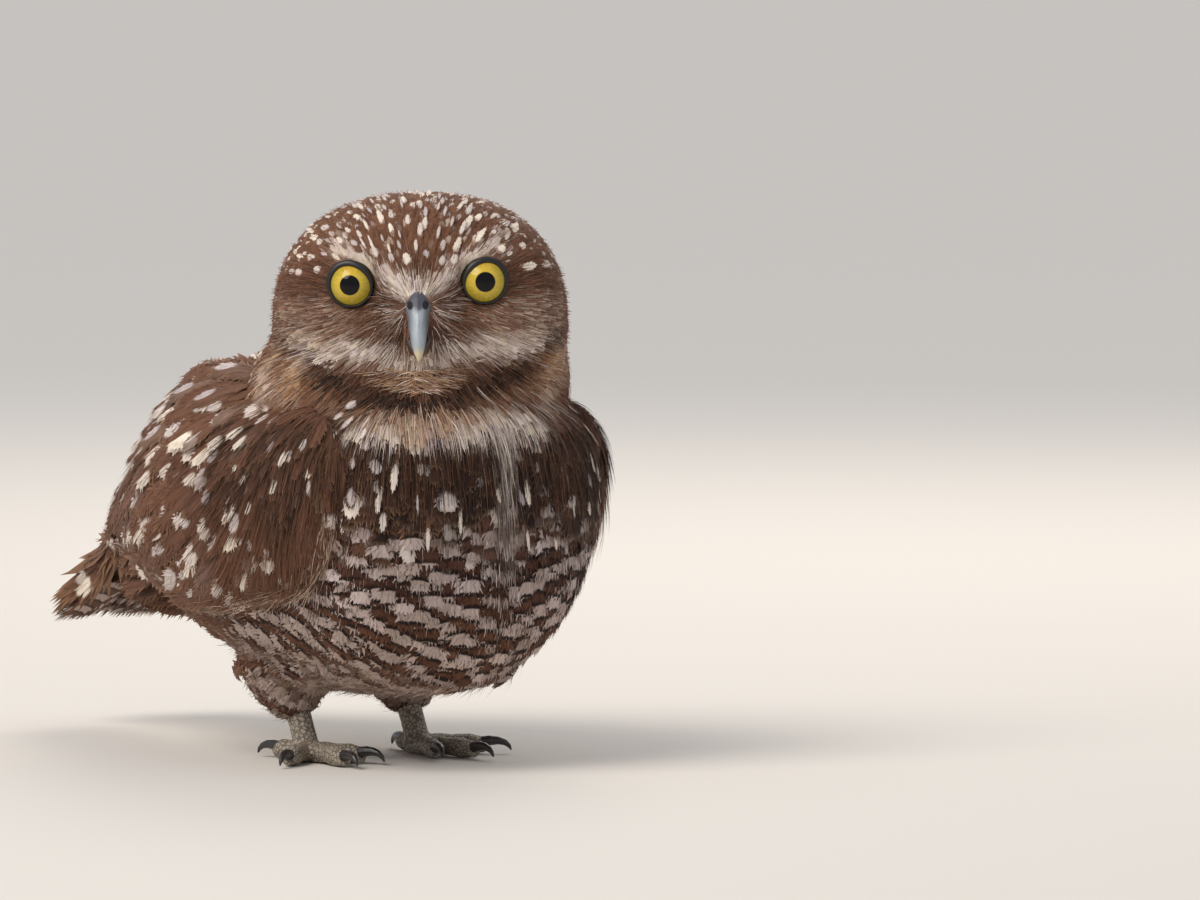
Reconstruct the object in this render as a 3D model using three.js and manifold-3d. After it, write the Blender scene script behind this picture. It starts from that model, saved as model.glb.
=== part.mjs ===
// A life-size model of a burrowing owl, crouched and alert, with its head turned over its right side.
// Millimetres, +Z up. The body faces -Y and the tail points to +Y; the floor under the toes is z = 0.
import * as THREE from "three";
import { mergeVertices } from "three/addons/utils/BufferGeometryUtils.js";
import Module from "manifold-3d";

const wasm = await Module();
wasm.setup();

// Driving sizes
const GAP = 0.3; // clear space between two touching pieces
const HEAD_TURN = -36; // degrees about Z, from the way the breast faces
const HEAD_ROLL = -1.4; // degrees, its left eye a little higher
const HEAD_CENTRE = new THREE.Vector3(0, -16, 110);
const HEAD_HALF_WIDTH = 37.2;
const HEAD_RISE = 33.6; // centre to crown
const HEAD_DROP = 25; // centre to underside
const FACE_DEPTH = 27.5; // centre to face
const NAPE_DEPTH = 33;
const EYE_SPREAD = 15.75; // eye centre from the face's midline
const EYE_RISE = 12;
const EYEBALL_RADIUS = 8.2;
const EYE_OPENING = 5.1; // radius of what shows between the lids
const LID_PLANE = 6.2; // the lids stand this far in front of the eyeball's centre
const BILL_TOP = 10.5; // top of the cere above the head's centre
const BILL_TIP = -6.75;
const BREAST_Y = -53; // foremost point of the breast
const RUMP_Y = 96; // rear end of the torso, under the wings
const TAIL_TIP_Y = 133;
const WING_PROUD = 5.6; // how far a folded wing stands out from the torso's side
const SCAPULAR_PROUD = 4.6; // and how far its shoulder feathers stand over the back
const VANE_THICK = 0.8;
const SLIVER = 0.06; // triangles thinner than this are merged away
const LEG_SPREAD = 17;
const FOOT_Y = 9;
const TOE_RADIUS = 2.5;

// A smooth curve through [position, value] keys that never overshoots them.
function through(keys) {
  const slope = keys.slice(1).map(([x, v], i) => (v - keys[i][1]) / (x - keys[i][0]));
  const tangent = keys.map((_, i) => {
    const [before, after] = [slope[i - 1] ?? slope[i], slope[i] ?? slope[i - 1]];
    return before * after <= 0 ? 0 : (2 * before * after) / (before + after);
  });
  return (at) => {
    const x = THREE.MathUtils.clamp(at, keys[0][0], keys.at(-1)[0]);
    const i = Math.max(0, Math.min(keys.findIndex(([k]) => k > x), keys.length) - 1);
    const from = x >= keys.at(-1)[0] ? keys.length - 2 : i;
    const span = keys[from + 1][0] - keys[from][0];
    const t = (x - keys[from][0]) / span;
    const [a, b] = [keys[from][1], keys[from + 1][1]];
    const [ta, tb] = [tangent[from] * span, tangent[from + 1] * span];
    return (
      a * (2 * t ** 3 - 3 * t ** 2 + 1) +
      ta * (t ** 3 - 2 * t ** 2 + t) +
      b * (3 * t ** 2 - 2 * t ** 3) +
      tb * (t ** 3 - t ** 2)
    );
  };
}

// The same small variations on every run.
function seeded(seed) {
  let state = seed;
  return () => {
    state = (state * 1664525 + 1013904223) % 4294967296;
    return state / 4294967296 - 0.5;
  };
}

const steps = (count) => Array.from({ length: count }, (_, i) => i);
const radians = THREE.MathUtils.degToRad;
const bump = (distance, reach) => Math.exp(-((distance / reach) ** 2));
const rounded = (value, power) => Math.sign(value) * Math.abs(value) ** power;

// Solids: closed geometries become manifold-3d solids, which join and cut each other.
function solid(geometry) {
  const bare = new THREE.BufferGeometry();
  bare.setAttribute("position", geometry.getAttribute("position"));
  bare.setIndex(geometry.index);
  const merged = mergeVertices(bare, 1e-4);
  const made = new wasm.Manifold(
    new wasm.Mesh({
      numProp: 3,
      vertProperties: merged.attributes.position.array,
      triVerts: new Uint32Array(merged.index.array),
    }),
  );
  if (made.volume() >= 0) return made;
  const turned = merged.index.array.slice();
  for (let i = 0; i < turned.length; i += 3) [turned[i], turned[i + 1]] = [turned[i + 1], turned[i]];
  return solid(new THREE.BufferGeometry().setAttribute("position", merged.attributes.position).setIndex([...turned]));
}

const fuse = (solids) => solids.reduce((all, next) => all.add(next));

function largest(made) {
  return made.decompose().reduce((best, next) => (next.volume() > best.volume() ? next : best));
}

function geometryOf(made) {
  const { vertProperties, triVerts } = made.getMesh();
  const geometry = new THREE.BufferGeometry();
  geometry.setAttribute("position", new THREE.BufferAttribute(vertProperties, 3));
  geometry.setIndex(new THREE.BufferAttribute(triVerts, 1));
  return geometry;
}

function indexed(points, triangles) {
  const geometry = new THREE.BufferGeometry().setFromPoints(points);
  return geometry.setIndex(triangles.flat());
}

// A closed body through rings of points, its ends closed by fans.
function loft(rings) {
  const around = rings[0].length;
  const middle = (ring) => ring.reduce((sum, p) => sum.add(p), new THREE.Vector3()).divideScalar(around);
  const points = [...rings.flat(), middle(rings[0]), middle(rings.at(-1))];
  const [first, last] = [points.length - 2, points.length - 1];
  const triangles = [];
  for (const j of steps(around)) {
    const k = (j + 1) % around;
    for (const i of steps(rings.length - 1)) {
      const [a, b] = [i * around, (i + 1) * around];
      triangles.push([a + j, b + j, b + k], [a + j, b + k, a + k]);
    }
    const end = (rings.length - 1) * around;
    triangles.push([first, j, k], [last, end + k, end + j]);
  }
  return solid(indexed(points, triangles));
}

// A thin closed body between two grids of points, split into triangles alike on both faces.
function plate(upper, lower) {
  const [rows, columns] = [upper.length, upper[0].length];
  const under = rows * columns;
  const at = (i, j) => i * columns + j;
  const triangles = [];
  const quad = (a, b, c, d) => triangles.push([a, b, c], [a, c, d]);
  for (const i of steps(rows - 1)) {
    for (const j of steps(columns - 1)) {
      const [a, b, c, d] = [at(i, j), at(i + 1, j), at(i + 1, j + 1), at(i, j + 1)];
      quad(a, b, c, d);
      triangles.push([under + a, under + c, under + b], [under + a, under + d, under + c]);
    }
    quad(at(i, 0), under + at(i, 0), under + at(i + 1, 0), at(i + 1, 0));
    quad(at(i + 1, columns - 1), under + at(i + 1, columns - 1), under + at(i, columns - 1), at(i, columns - 1));
  }
  for (const j of steps(columns - 1)) {
    quad(at(0, j + 1), under + at(0, j + 1), under + at(0, j), at(0, j));
    quad(at(rows - 1, j), under + at(rows - 1, j), under + at(rows - 1, j + 1), at(rows - 1, j + 1));
  }
  return solid(indexed([...upper.flat(), ...lower.flat()], triangles));
}

// Torso: sections across Y, each with its half width, top, bottom and the height where it is widest
const bodyHalf = through([
  [-20, 50.5], [0, 51], [20, 49.5], [35, 47.5], [52, 42.5], [70, 35], [90, 25.5], [110, 18], [133, 13.5],
]);
const bodyTop = through([
  [-20, 100], [0, 105], [20, 109.5], [35, 109], [45, 104.5], [52, 99], [70, 81.5], [90, 60.5], [110, 42], [133, 28.5],
]);
const bodyBottom = through([
  [-20, 17.8], [0, 16.8], [20, 17.5], [40, 22], [60, 30], [75, 36], [90, 38], [110, 33], [133, 25],
]);
const bodyWaist = through([[-20, 74], [0, 68], [20, 62], [52, 60], [70, 57], [90, 49], [110, 40], [133, 28]]);
const wingShare = through([[-20, 1], [70, 1], [100, 0.6], [133, 0.2]]);
const scapularShare = through([[-30, 0], [10, 1], [70, 1], [133, 0.2]]);
const BREAST_ROUND_Y = -14; // the breast rounds off in front of this
const BREAST_POWER = 2.8;
const RUMP_ROUND_Y = 66;
const SECTION_POWER = 2.25;

// The torso's section at y: its half width, waist height, rise and drop. The breast is rounded off, and the rump if closed.
function section(y, closed = true) {
  const front = Math.max(0, (BREAST_ROUND_Y - y) / (BREAST_ROUND_Y - BREAST_Y));
  const rear = closed ? Math.max(0, (y - RUMP_ROUND_Y) / (RUMP_Y - RUMP_ROUND_Y)) : 0;
  const close = (1 - Math.min(1, front) ** BREAST_POWER) ** (1 / BREAST_POWER) * Math.sqrt(1 - Math.min(1, rear) ** 2);
  const waist = bodyWaist(y);
  return {
    waist,
    half: (bodyHalf(y) - WING_PROUD * wingShare(y)) * close,
    rise: (bodyTop(y) - SCAPULAR_PROUD * scapularShare(y) - waist) * close,
    drop: (waist - bodyBottom(y)) * close,
  };
}

// A point of the torso's surface: angle 0 is its side, 90 the back and -90 the belly, on the side given by x's sign.
function onBody(side, y, angle, closed = true) {
  const { waist, half, rise, drop } = section(y, closed);
  const a = radians(angle);
  const power = 2 / SECTION_POWER;
  const up = rounded(Math.sin(a), power);
  return new THREE.Vector3(side * half * rounded(Math.cos(a), power), y, waist + up * (up > 0 ? rise : drop));
}

// The same surface carried on smoothly past the rump, with its outward normal, for what lies on it.
function overBody(side, y, angle, height) {
  const [dy, da] = [1, 2];
  const point = onBody(side, y, angle, false);
  const along = onBody(side, y + dy, angle, false).sub(onBody(side, y - dy, angle, false));
  const round = onBody(side, y, angle + da, false).sub(onBody(side, y, angle - da, false));
  const normal = along.cross(round).normalize();
  if (normal.x * side < 0) normal.negate();
  return { point: point.addScaledVector(normal, height), normal };
}

function torsoShape(grow = 0) {
  const [around, along] = [32, 20];
  const rings = steps(along).map((i) => {
    const t = (1 - Math.cos((Math.PI * (i + 0.35)) / (along - 0.3))) / 2;
    const y = THREE.MathUtils.lerp(BREAST_Y, RUMP_Y, t);
    const { waist, half, rise, drop } = section(y);
    const shift = y + grow * (2 * t - 1);
    return steps(around).map((j) => {
      const a = (2 * Math.PI * j) / around;
      const power = 2 / SECTION_POWER;
      const up = rounded(Math.sin(a), power);
      const reach = (up > 0 ? rise : drop) + grow;
      return new THREE.Vector3((half + grow) * rounded(Math.cos(a), power), shift, waist + up * reach);
    });
  });
  return loft(rings);
}

// Neck: a stout collar of rings from the shoulders up round the head, turning with it
const NECK_LOW = 84;
const NECK_HIGH = 112;
const HEAD_SEAT = 95; // the head rests on the neck at this height
function neckShape(grow = 0) {
  const [around, along] = [26, 6];
  const halfWidth = through([[84, 41], [92, 42], [100, 40.4], [106, 37.5], [112, 32]]);
  const front = through([[84, 37], [92, 35], [100, 31.5], [106, 27.5], [112, 22]]);
  const back = through([[84, 33], [92, 36], [100, 38], [106, 37], [112, 31]]);
  const rings = steps(along).map((i) => {
    const t = i / (along - 1);
    const z = THREE.MathUtils.lerp(NECK_LOW, NECK_HIGH, t);
    const turn = radians(HEAD_TURN * THREE.MathUtils.lerp(0.4, 1, t));
    const centre = new THREE.Vector3(0, THREE.MathUtils.lerp(-8, HEAD_CENTRE.y, t), z + grow * (2 * t - 1));
    return steps(around).map((j) => {
      const a = (2 * Math.PI * j) / around;
      const depth = Math.sin(a) < 0 ? front(z) : back(z);
      const p = new THREE.Vector3((halfWidth(z) + grow) * Math.cos(a), (depth + grow) * Math.sin(a), 0);
      return p.applyAxisAngle(new THREE.Vector3(0, 0, 1), turn).add(centre);
    });
  });
  return loft(rings);
}

// Head, in its own frame: the face looks along -Y and the rings run from the face to the nape
const headPose = new THREE.Matrix4()
  .makeRotationFromEuler(new THREE.Euler(0, radians(HEAD_ROLL), radians(HEAD_TURN), "ZYX"))
  .setPosition(HEAD_CENTRE);
const posed = (made, matrix = headPose) => made.transform(matrix.elements);

// How far the face stands out at (x, z): sunken round the eyes, raised at the brows, disc rim, cheeks and chin.
function faceRelief(x, z) {
  const side = Math.abs(x);
  const eye = Math.hypot(side - EYE_SPREAD, z - EYE_RISE);
  const browLine = EYE_RISE + 7.2 - 0.55 * (EYE_SPREAD + 4 - side);
  const brow = bump(z - browLine, 5) * bump(side - EYE_SPREAD + 2, 12);
  const rim = bump(Math.hypot(side - 13, z - 1.5) - 19.5, 4) * (z < 6 ? 1 : 0.3);
  return 1.5 * brow + 1.3 * rim - 2.6 * bump(eye, 8.5) + 2.6 * bump(side, 6.5) * bump(z - 3, 10);
}

function headSurface(direction, grow = 0) {
  const power = 2.4;
  const reach = [
    HEAD_HALF_WIDTH,
    direction.y < 0 ? FACE_DEPTH : NAPE_DEPTH,
    direction.z < 0 ? HEAD_DROP : HEAD_RISE,
  ];
  const sum = direction.toArray().reduce((total, d, i) => total + Math.abs(d / reach[i]) ** power, 0);
  const point = direction.clone().multiplyScalar(sum ** (-1 / power));
  const facing = THREE.MathUtils.smoothstep(-direction.y, 0.15, 0.6);
  return point.addScaledVector(direction, grow + facing * faceRelief(point.x, point.z));
}

function headShape(grow = 0) {
  const [around, along] = [36, 22];
  const rings = steps(along).map((i) => {
    const t = (i + 0.5) / along;
    const tilt = Math.PI * t ** 1.3;
    return steps(around).map((j) => {
      const a = (2 * Math.PI * j) / around;
      const flat = Math.sin(tilt);
      return headSurface(new THREE.Vector3(flat * Math.cos(a), -Math.cos(tilt), flat * Math.sin(a)), grow);
    });
  });
  return loft(rings);
}

// Eye: a ball with a cornea, turned from a profile; it looks along -Y, and a little outward
function eyePose(side) {
  const centre = headSurface(new THREE.Vector3(side * EYE_SPREAD, -24, EYE_RISE).normalize());
  const turn = new THREE.Matrix4().makeRotationZ(radians(side * 7));
  return turn.setPosition(side * EYE_SPREAD, centre.y + LID_PLANE, EYE_RISE);
}

function eyeShape(grow = 0) {
  const corneaEdge = Math.asin((EYE_OPENING - 0.2) / EYEBALL_RADIUS);
  const bulge = 0.9;
  const radius = EYEBALL_RADIUS + grow;
  const profile = steps(11).map((i) => {
    const a = (Math.PI * (10 - i)) / 10;
    const out = bulge * Math.max(0, Math.cos((Math.min(a / corneaEdge, 1) * Math.PI) / 2));
    return new THREE.Vector2(i === 0 || i === 10 ? 0 : radius * Math.sin(a), -radius * Math.cos(a) - out);
  });
  return solid(new THREE.LatheGeometry(profile, 16));
}

// Lid: a soft ring round the opening of the eye
const LID_THICK = 0.8;
function lidShape() {
  const ring = new THREE.TorusGeometry(EYE_OPENING + LID_THICK, LID_THICK, 6, 18);
  ring.rotateX(Math.PI / 2).translate(0, -LID_PLANE, 0);
  return solid(ring);
}

// Bill: rings across Z from the cere down to the hooked tip; the mouth line parts it from the lower half
function billUpperShape(grow = 0) {
  const around = 12;
  const rings = steps(10).map((i) => {
    const t = i / 9;
    const z = THREE.MathUtils.lerp(BILL_TOP, BILL_TIP, t);
    const halfWidth = through([[0, 3.4], [0.2, 4.1], [0.38, 3], [0.6, 2.3], [0.8, 1.6], [0.93, 0.9], [1, 0.35]])(t) + grow;
    const ridge = through([[0, 28.3], [0.2, 31.8], [0.5, 35.4], [0.8, 36.6], [1, 35.6]])(t) + grow;
    const root = through([[0, 21], [0.45, 24], [0.6, 30.8], [0.8, 33], [1, 34.6]])(t) - grow;
    const middle = (ridge + root) / 2;
    return steps(around).map((j) => {
      const a = (2 * Math.PI * j) / around;
      const keel = Math.sin(a) > 0 ? 1 - 0.35 * Math.sin(a) : 1;
      const x = halfWidth * rounded(Math.cos(a), 0.9) * keel;
      return new THREE.Vector3(x, -(middle + ((ridge - root) / 2) * Math.sin(a)), z);
    });
  });
  return loft(rings);
}

function nostrilShape(side) {
  const pit = new THREE.SphereGeometry(1, 10, 7).scale(0.75, 1.6, 1);
  return solid(pit.translate(side * 3, -30.6, BILL_TOP - 3.1));
}

function billLowerShape() {
  const around = 10;
  const rings = steps(6).map((i) => {
    const t = i / 5;
    const z = THREE.MathUtils.lerp(3.2, -5, t);
    const halfWidth = through([[0, 4.2], [0.5, 3.9], [1, 1.5]])(t);
    const [front, root] = [through([[0, 30.4], [0.5, 32], [1, 32.6]])(t), through([[0, 21.5], [1, 27.5]])(t)];
    return steps(around).map((j) => {
      const a = (2 * Math.PI * j) / around;
      return new THREE.Vector3(
        halfWidth * Math.cos(a), -((front + root) / 2 + ((front - root) / 2) * Math.sin(a)), z,
      );
    });
  });
  return loft(rings);
}

// A feather vane laid over the body from root to tip, each [y, angle, height]; its shaft stands up as a low ridge.
function vane(side, root, tip, { width, bend = 0, roll = 0, rows = 5, thick = VANE_THICK }) {
  const fullness = through([[0, 0.5], [0.35, 0.95], [0.65, 1], [0.88, 0.74], [1, 0.26]]);
  const at = (t) => {
    const arc = bend * Math.sin(Math.PI * t);
    return overBody(
      side,
      THREE.MathUtils.lerp(root[0], tip[0], t),
      THREE.MathUtils.lerp(root[1], tip[1], t) + arc,
      THREE.MathUtils.lerp(root[2], tip[2], t ** 0.45),
    );
  };
  const [upper, lower] = [[], []];
  for (const i of steps(rows)) {
    const t = i / (rows - 1);
    const { point, normal } = at(t);
    const ahead = at(Math.min(1, t + 0.05)).point.sub(at(Math.max(0, t - 0.05)).point).normalize();
    const across = normal.clone().cross(ahead).normalize().multiplyScalar(-side);
    const tilt = across.clone().applyAxisAngle(ahead, radians(-roll * side));
    const half = (width / 2) * fullness(t);
    const grid = [-1, 0, 1].map((j) =>
      point.clone().addScaledVector(tilt, j * half).addScaledVector(normal, j === 0 ? 0.12 * half : 0),
    );
    upper.push(grid);
    lower.push(grid.map((p, j) => p.clone().addScaledVector(normal, j === 1 ? -thick * 1.3 : -thick)));
  }
  return plate(upper, lower);
}

// The folded arm under the feathers: a plate on the torso's side, thin at its edges
function wingArm(side) {
  const [first, last] = [-39, 94];
  const [rows, columns] = [10, 6];
  const lowEdge = through([[-39, -2], [-33, -20], [-20, -30], [10, -31], [50, -25], [94, -8]]);
  const highEdge = through([[-39, 12], [-30, 34], [-10, 47], [30, 58], [70, 62], [94, 60]]);
  const fullHeight = through([[-39, 0.9], [-33, 1.5], [-15, 1.6], [60, 1.4], [94, 0.8]]);
  const [upper, lower] = [[], []];
  for (const i of steps(rows)) {
    const y = THREE.MathUtils.lerp(first, last, i / (rows - 1));
    const places = steps(columns).map((j) => {
      const t = j / (columns - 1);
      return [THREE.MathUtils.lerp(lowEdge(y), highEdge(y), t), Math.sin(Math.PI * t) ** 0.45];
    });
    upper.push(places.map(([angle, full]) => overBody(side, y, angle, 0.7 + full * (fullHeight(y) - 0.7)).point));
    lower.push(places.map(([angle]) => overBody(side, y, angle, -1).point));
  }
  return plate(upper, lower);
}

// Rows of wing feathers. Each tier runs from its lowest vane to its highest, and every vane lies over the one below it.
const WING_TIERS = [
  { count: 5, root: [38, -14, 0.6], tip: [127, -10, 1.8], rootRise: 28, tipRise: 54, tipBack: -24, width: 11, roll: 10, rows: 4 },
  { count: 5, root: [4, -22, 0.9], tip: [66, -20, 3], rootRise: 56, tipRise: 74, tipBack: 18, width: 17, roll: 9, rows: 4 },
  { count: 5, root: [-18, -22, 1.1], tip: [28, -24, 4.4], rootRise: 56, tipRise: 64, tipBack: 10, width: 16, roll: 9, rows: 3 },
  { count: 4, root: [-29, -16, 1.3], tip: [2, -20, 4.8], rootRise: 50, tipRise: 56, tipBack: 8, width: 17, roll: 9, rows: 3 },
];
const SCAPULARS = [
  { count: 4, root: [0, 40, 1.4], tip: [52, 34, 4.6], rootRise: 30, tipRise: 42, tipBack: 14, width: 16, roll: 9, rows: 3 },
  { count: 3, root: [-14, 40, 1.8], tip: [22, 34, 5.6], rootRise: 26, tipRise: 34, tipBack: 8, width: 15, roll: 9, rows: 3 },
];

function tier(side, { count, root, tip, rootRise, tipRise, tipBack, ...form }, vary) {
  return steps(count).map((i) => {
    const t = i / (count - 1);
    const length = vary() * 4;
    return vane(
      side,
      [root[0], root[1] + rootRise * t, root[2]],
      [tip[0] + tipBack * t + length, tip[1] + tipRise * t, tip[2]],
      { ...form, bend: 2 + vary() * 3 },
    );
  });
}

function wingShape(side) {
  const vary = seeded(side > 0 ? 11 : 29);
  const tiers = [...WING_TIERS, ...SCAPULARS].flatMap((form) => tier(side, form, vary));
  return fuse([wingArm(side), ...tiers]);
}

// Tail: overlapping vanes, the middle pair on top
const TAIL_ROOT = new THREE.Vector3(0, 70, 56);
const TAIL_TIP = new THREE.Vector3(0, TAIL_TIP_Y, 25.5);
function tailShape(grow = 0) {
  const down = TAIL_TIP.clone().sub(TAIL_ROOT).normalize();
  const lift = new THREE.Vector3(0, -down.z, down.y).normalize();
  const length = TAIL_TIP.distanceTo(TAIL_ROOT);
  const fullness = through([[0, 0.55], [0.4, 0.9], [0.7, 1], [0.93, 0.82], [1, 0.4]]);
  const vanes = [-1, 1].flatMap((side) =>
    steps(5).map((i) => {
      const fan = radians(1.4 + 2.8 * i) * side;
      const reach = length - 0.6 * i ** 1.4;
      const axis = down.clone().applyAxisAngle(lift, fan);
      const across = new THREE.Vector3().crossVectors(axis, lift).normalize();
      const [upper, lower] = [[], []];
      for (const k of steps(5)) {
        const t = k / 4;
        const centre = TAIL_ROOT.clone().addScaledVector(axis, reach * t);
        centre.addScaledVector(lift, 1.6 - 0.78 * i + 1.5 * Math.sin(Math.PI * t));
        const half = 5.2 * fullness(t) + grow;
        const grid = [-1, 0, 1].map((j) => {
          const tilt = -0.09 * j * side * 5.2;
          return centre.clone().addScaledVector(across, j * half).addScaledVector(lift, tilt + (j ? 0 : 0.5) + grow);
        });
        upper.push(grid);
        lower.push(grid.map((p) => p.clone().addScaledVector(lift, -1 - 2 * grow)));
      }
      return plate(upper, lower);
    }),
  );
  const core = new THREE.SphereGeometry(1, 12, 6).scale(10 + grow, 26 + grow, 3.6 + grow);
  core.rotateX(Math.atan2(down.z, down.y)).translate(0, TAIL_ROOT.y + 16, TAIL_ROOT.z - 9.5);
  return fuse([...vanes, solid(core)]);
}

// A round limb along a path of centres, each with its radius
function limb(path, around = 12, grow = 0) {
  const rings = path.map(([x, y, z, radius], i) => {
    const here = new THREE.Vector3(x, y, z);
    const [before, after] = [path[Math.max(0, i - 1)], path[Math.min(path.length - 1, i + 1)]];
    const along = new THREE.Vector3(after[0] - before[0], after[1] - before[1], after[2] - before[2]).normalize();
    const turn = new THREE.Quaternion().setFromUnitVectors(new THREE.Vector3(0, 0, 1), along);
    return steps(around).map((j) => {
      const a = (2 * Math.PI * j) / around;
      const spoke = new THREE.Vector3(Math.cos(a), Math.sin(a), 0).multiplyScalar(radius + grow);
      return spoke.applyQuaternion(turn).add(here);
    });
  });
  return loft(rings);
}

// Legs: a feathered thigh under the belly, a slim shank, and four toes with claws
const thighPath = (side) => [
  [side * (LEG_SPREAD + 1), FOOT_Y + 13, 40, 11],
  [side * (LEG_SPREAD + 1), FOOT_Y + 10, 27, 12.5],
  [side * (LEG_SPREAD + 0.5), FOOT_Y + 7, 18, 9.5],
  [side * LEG_SPREAD, FOOT_Y + 4, 11.5, 5.2],
];
const shankPath = (side) => [
  [side * LEG_SPREAD, FOOT_Y + 6, 15, 3.4],
  [side * LEG_SPREAD, FOOT_Y + 3, 9, 3.1],
  [side * LEG_SPREAD, FOOT_Y + 0.5, 3.4, 3.2],
];
// Each toe: its heading in degrees from straight ahead, positive outward, and its length
const TOES = [
  { name: "inner", heading: -20, length: 17 },
  { name: "middle", heading: 8, length: 21 },
  { name: "outer", heading: 52, length: 17 },
  { name: "hind", heading: 168, length: 11 },
];
const toeWay = (side, heading) =>
  new THREE.Vector3(side * Math.sin(radians(heading)), -Math.cos(radians(heading)), 0);

function toeShape(side, { heading, length }) {
  const way = toeWay(side, heading);
  const path = [0, 0.3, 0.5, 0.75, 1].map((t, i) => {
    const pad = [0.1, 0.25, -0.2, 0.2, -0.5][i];
    const arch = 0.5 * Math.sin(Math.PI * t);
    return [
      side * LEG_SPREAD + way.x * length * t, FOOT_Y + way.y * length * t, TOE_RADIUS - 0.3 + arch, TOE_RADIUS + pad,
    ];
  });
  return limb(path, 8);
}

function clawShape(side, { heading, length }, grow = 0) {
  const way = toeWay(side, heading);
  const [reach, drop] = [7.5, 2.1];
  const path = steps(6).map((i) => {
    const t = i / 5;
    const out = length - 1 + reach * Math.sin((t * Math.PI) / 2.2);
    const z = TOE_RADIUS + 0.5 + 0.9 * Math.sin(Math.PI * t) - drop * t ** 1.6;
    return [
      side * LEG_SPREAD + way.x * out, FOOT_Y + way.y * out, z, 1.35 * (1 - t) ** 0.8 + 0.22,
    ];
  });
  return limb(path, 7, grow);
}

function footShape(side) {
  const pad = solid(new THREE.SphereGeometry(1, 10, 7).scale(4, 4.4, 3.4).translate(side * LEG_SPREAD, FOOT_Y, 2.5));
  const floorCut = new THREE.BoxGeometry(200, 200, 20).translate(0, FOOT_Y, -10);
  return fuse([pad, ...TOES.map((toe) => toeShape(side, toe))]).subtract(solid(floorCut));
}

// Build every piece, cut clear of its neighbours
const pieces = new THREE.Group();
function add(name, made, color, roughness, metalness = 0) {
  const material = new THREE.MeshStandardMaterial({ color, roughness, metalness });
  const mesh = new THREE.Mesh(geometryOf(largest(made.simplify(SLIVER))), material);
  mesh.name = name;
  pieces.add(mesh);
}

const sides = [["right", -1], ["left", 1]];
const eyes = sides.map(([, side]) => posed(eyeShape(), headPose.clone().multiply(eyePose(side))));
const eyeRooms = sides.map(([, side]) => posed(eyeShape(GAP), headPose.clone().multiply(eyePose(side))));
const lids = sides.map(([, side]) => posed(lidShape(), headPose.clone().multiply(eyePose(side))));
const above = (made, z) => made.trimByPlane([0, 0, 1], z);
const headSolid = above(posed(headShape()), HEAD_SEAT);
const headRoom = above(posed(headShape(GAP)), HEAD_SEAT - GAP);
const billUpper = posed(billUpperShape());
const billRoom = posed(billUpperShape(GAP));
const billLower = posed(billLowerShape());
const torso = torsoShape();
const torsoRoom = torsoShape(GAP);
const neckRoom = neckShape(GAP);

const plumage = { dark: 0x5d4030, light: 0xd9c8b4, barred: 0x8a6a52 };
add("head", fuse([headSolid, ...lids]).subtract(fuse(eyeRooms)).subtract(billRoom), plumage.dark, 0.9);
sides.forEach(([name], i) => add(`eye_${name}`, eyes[i], 0xd9c22e, 0.1));
add("bill_upper", billUpper.subtract(fuse([-1, 1].map((side) => posed(nostrilShape(side))))), 0xa9aea6, 0.4);
add("bill_lower", billLower.subtract(headRoom).subtract(billRoom), 0x8f948e, 0.45);
add("neck", neckShape().subtract(headRoom), plumage.light, 0.9);
add("torso", torso.subtract(neckRoom), plumage.barred, 0.9);

const tailRoom = tailShape(GAP);
const thighs = sides.map(([, side]) => limb(thighPath(side), 14));
const thighRooms = sides.map(([, side]) => limb(thighPath(side), 14, GAP));
sides.forEach(([name, side], i) => {
  add(`wing_${name}`, wingShape(side).subtract(fuse([torsoRoom, neckRoom, headRoom, tailRoom])), plumage.dark, 0.85);
  add(`thigh_${name}`, thighs[i].subtract(torsoRoom), plumage.light, 0.9);
  const foot = footShape(side);
  const shank = limb(shankPath(side), 10).subtract(thighRooms[i]);
  add(`leg_${name}`, fuse([shank, foot]).subtract(fuse(TOES.map((toe) => clawShape(side, toe, GAP)))), 0x9c8f80, 0.7);
  for (const toe of TOES) add(`claw_${name}_${toe.name}`, clawShape(side, toe), 0x2b2622, 0.4);
});
add("tail", tailShape().subtract(torsoRoom), plumage.dark, 0.85);

// The part's origin is on the floor under the middle of its outer size
const size = new THREE.Box3().setFromObject(pieces);
const middle = size.getCenter(new THREE.Vector3());
pieces.position.set(-middle.x, -middle.y, -size.min.z);
const owl = new THREE.Group();
owl.add(pieces);

export default owl;
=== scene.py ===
# %% [markdown]
# # A burrowing owl, feather by feather
# A bird's outline is its plumage, and its plumage is thousands of small overlapping blades that all lie
# along one flow from the bill to the tail. Such a coat could be painted on the solids or grown as hair.
# Blades of real geometry are chosen here, because they give a feathered edge from every side and stay
# plain meshes. The lesson takes the solid parts of the model as a fixed frame, makes one soft skin inside
# them, and then lays feathers on that skin tract by tract.

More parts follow.
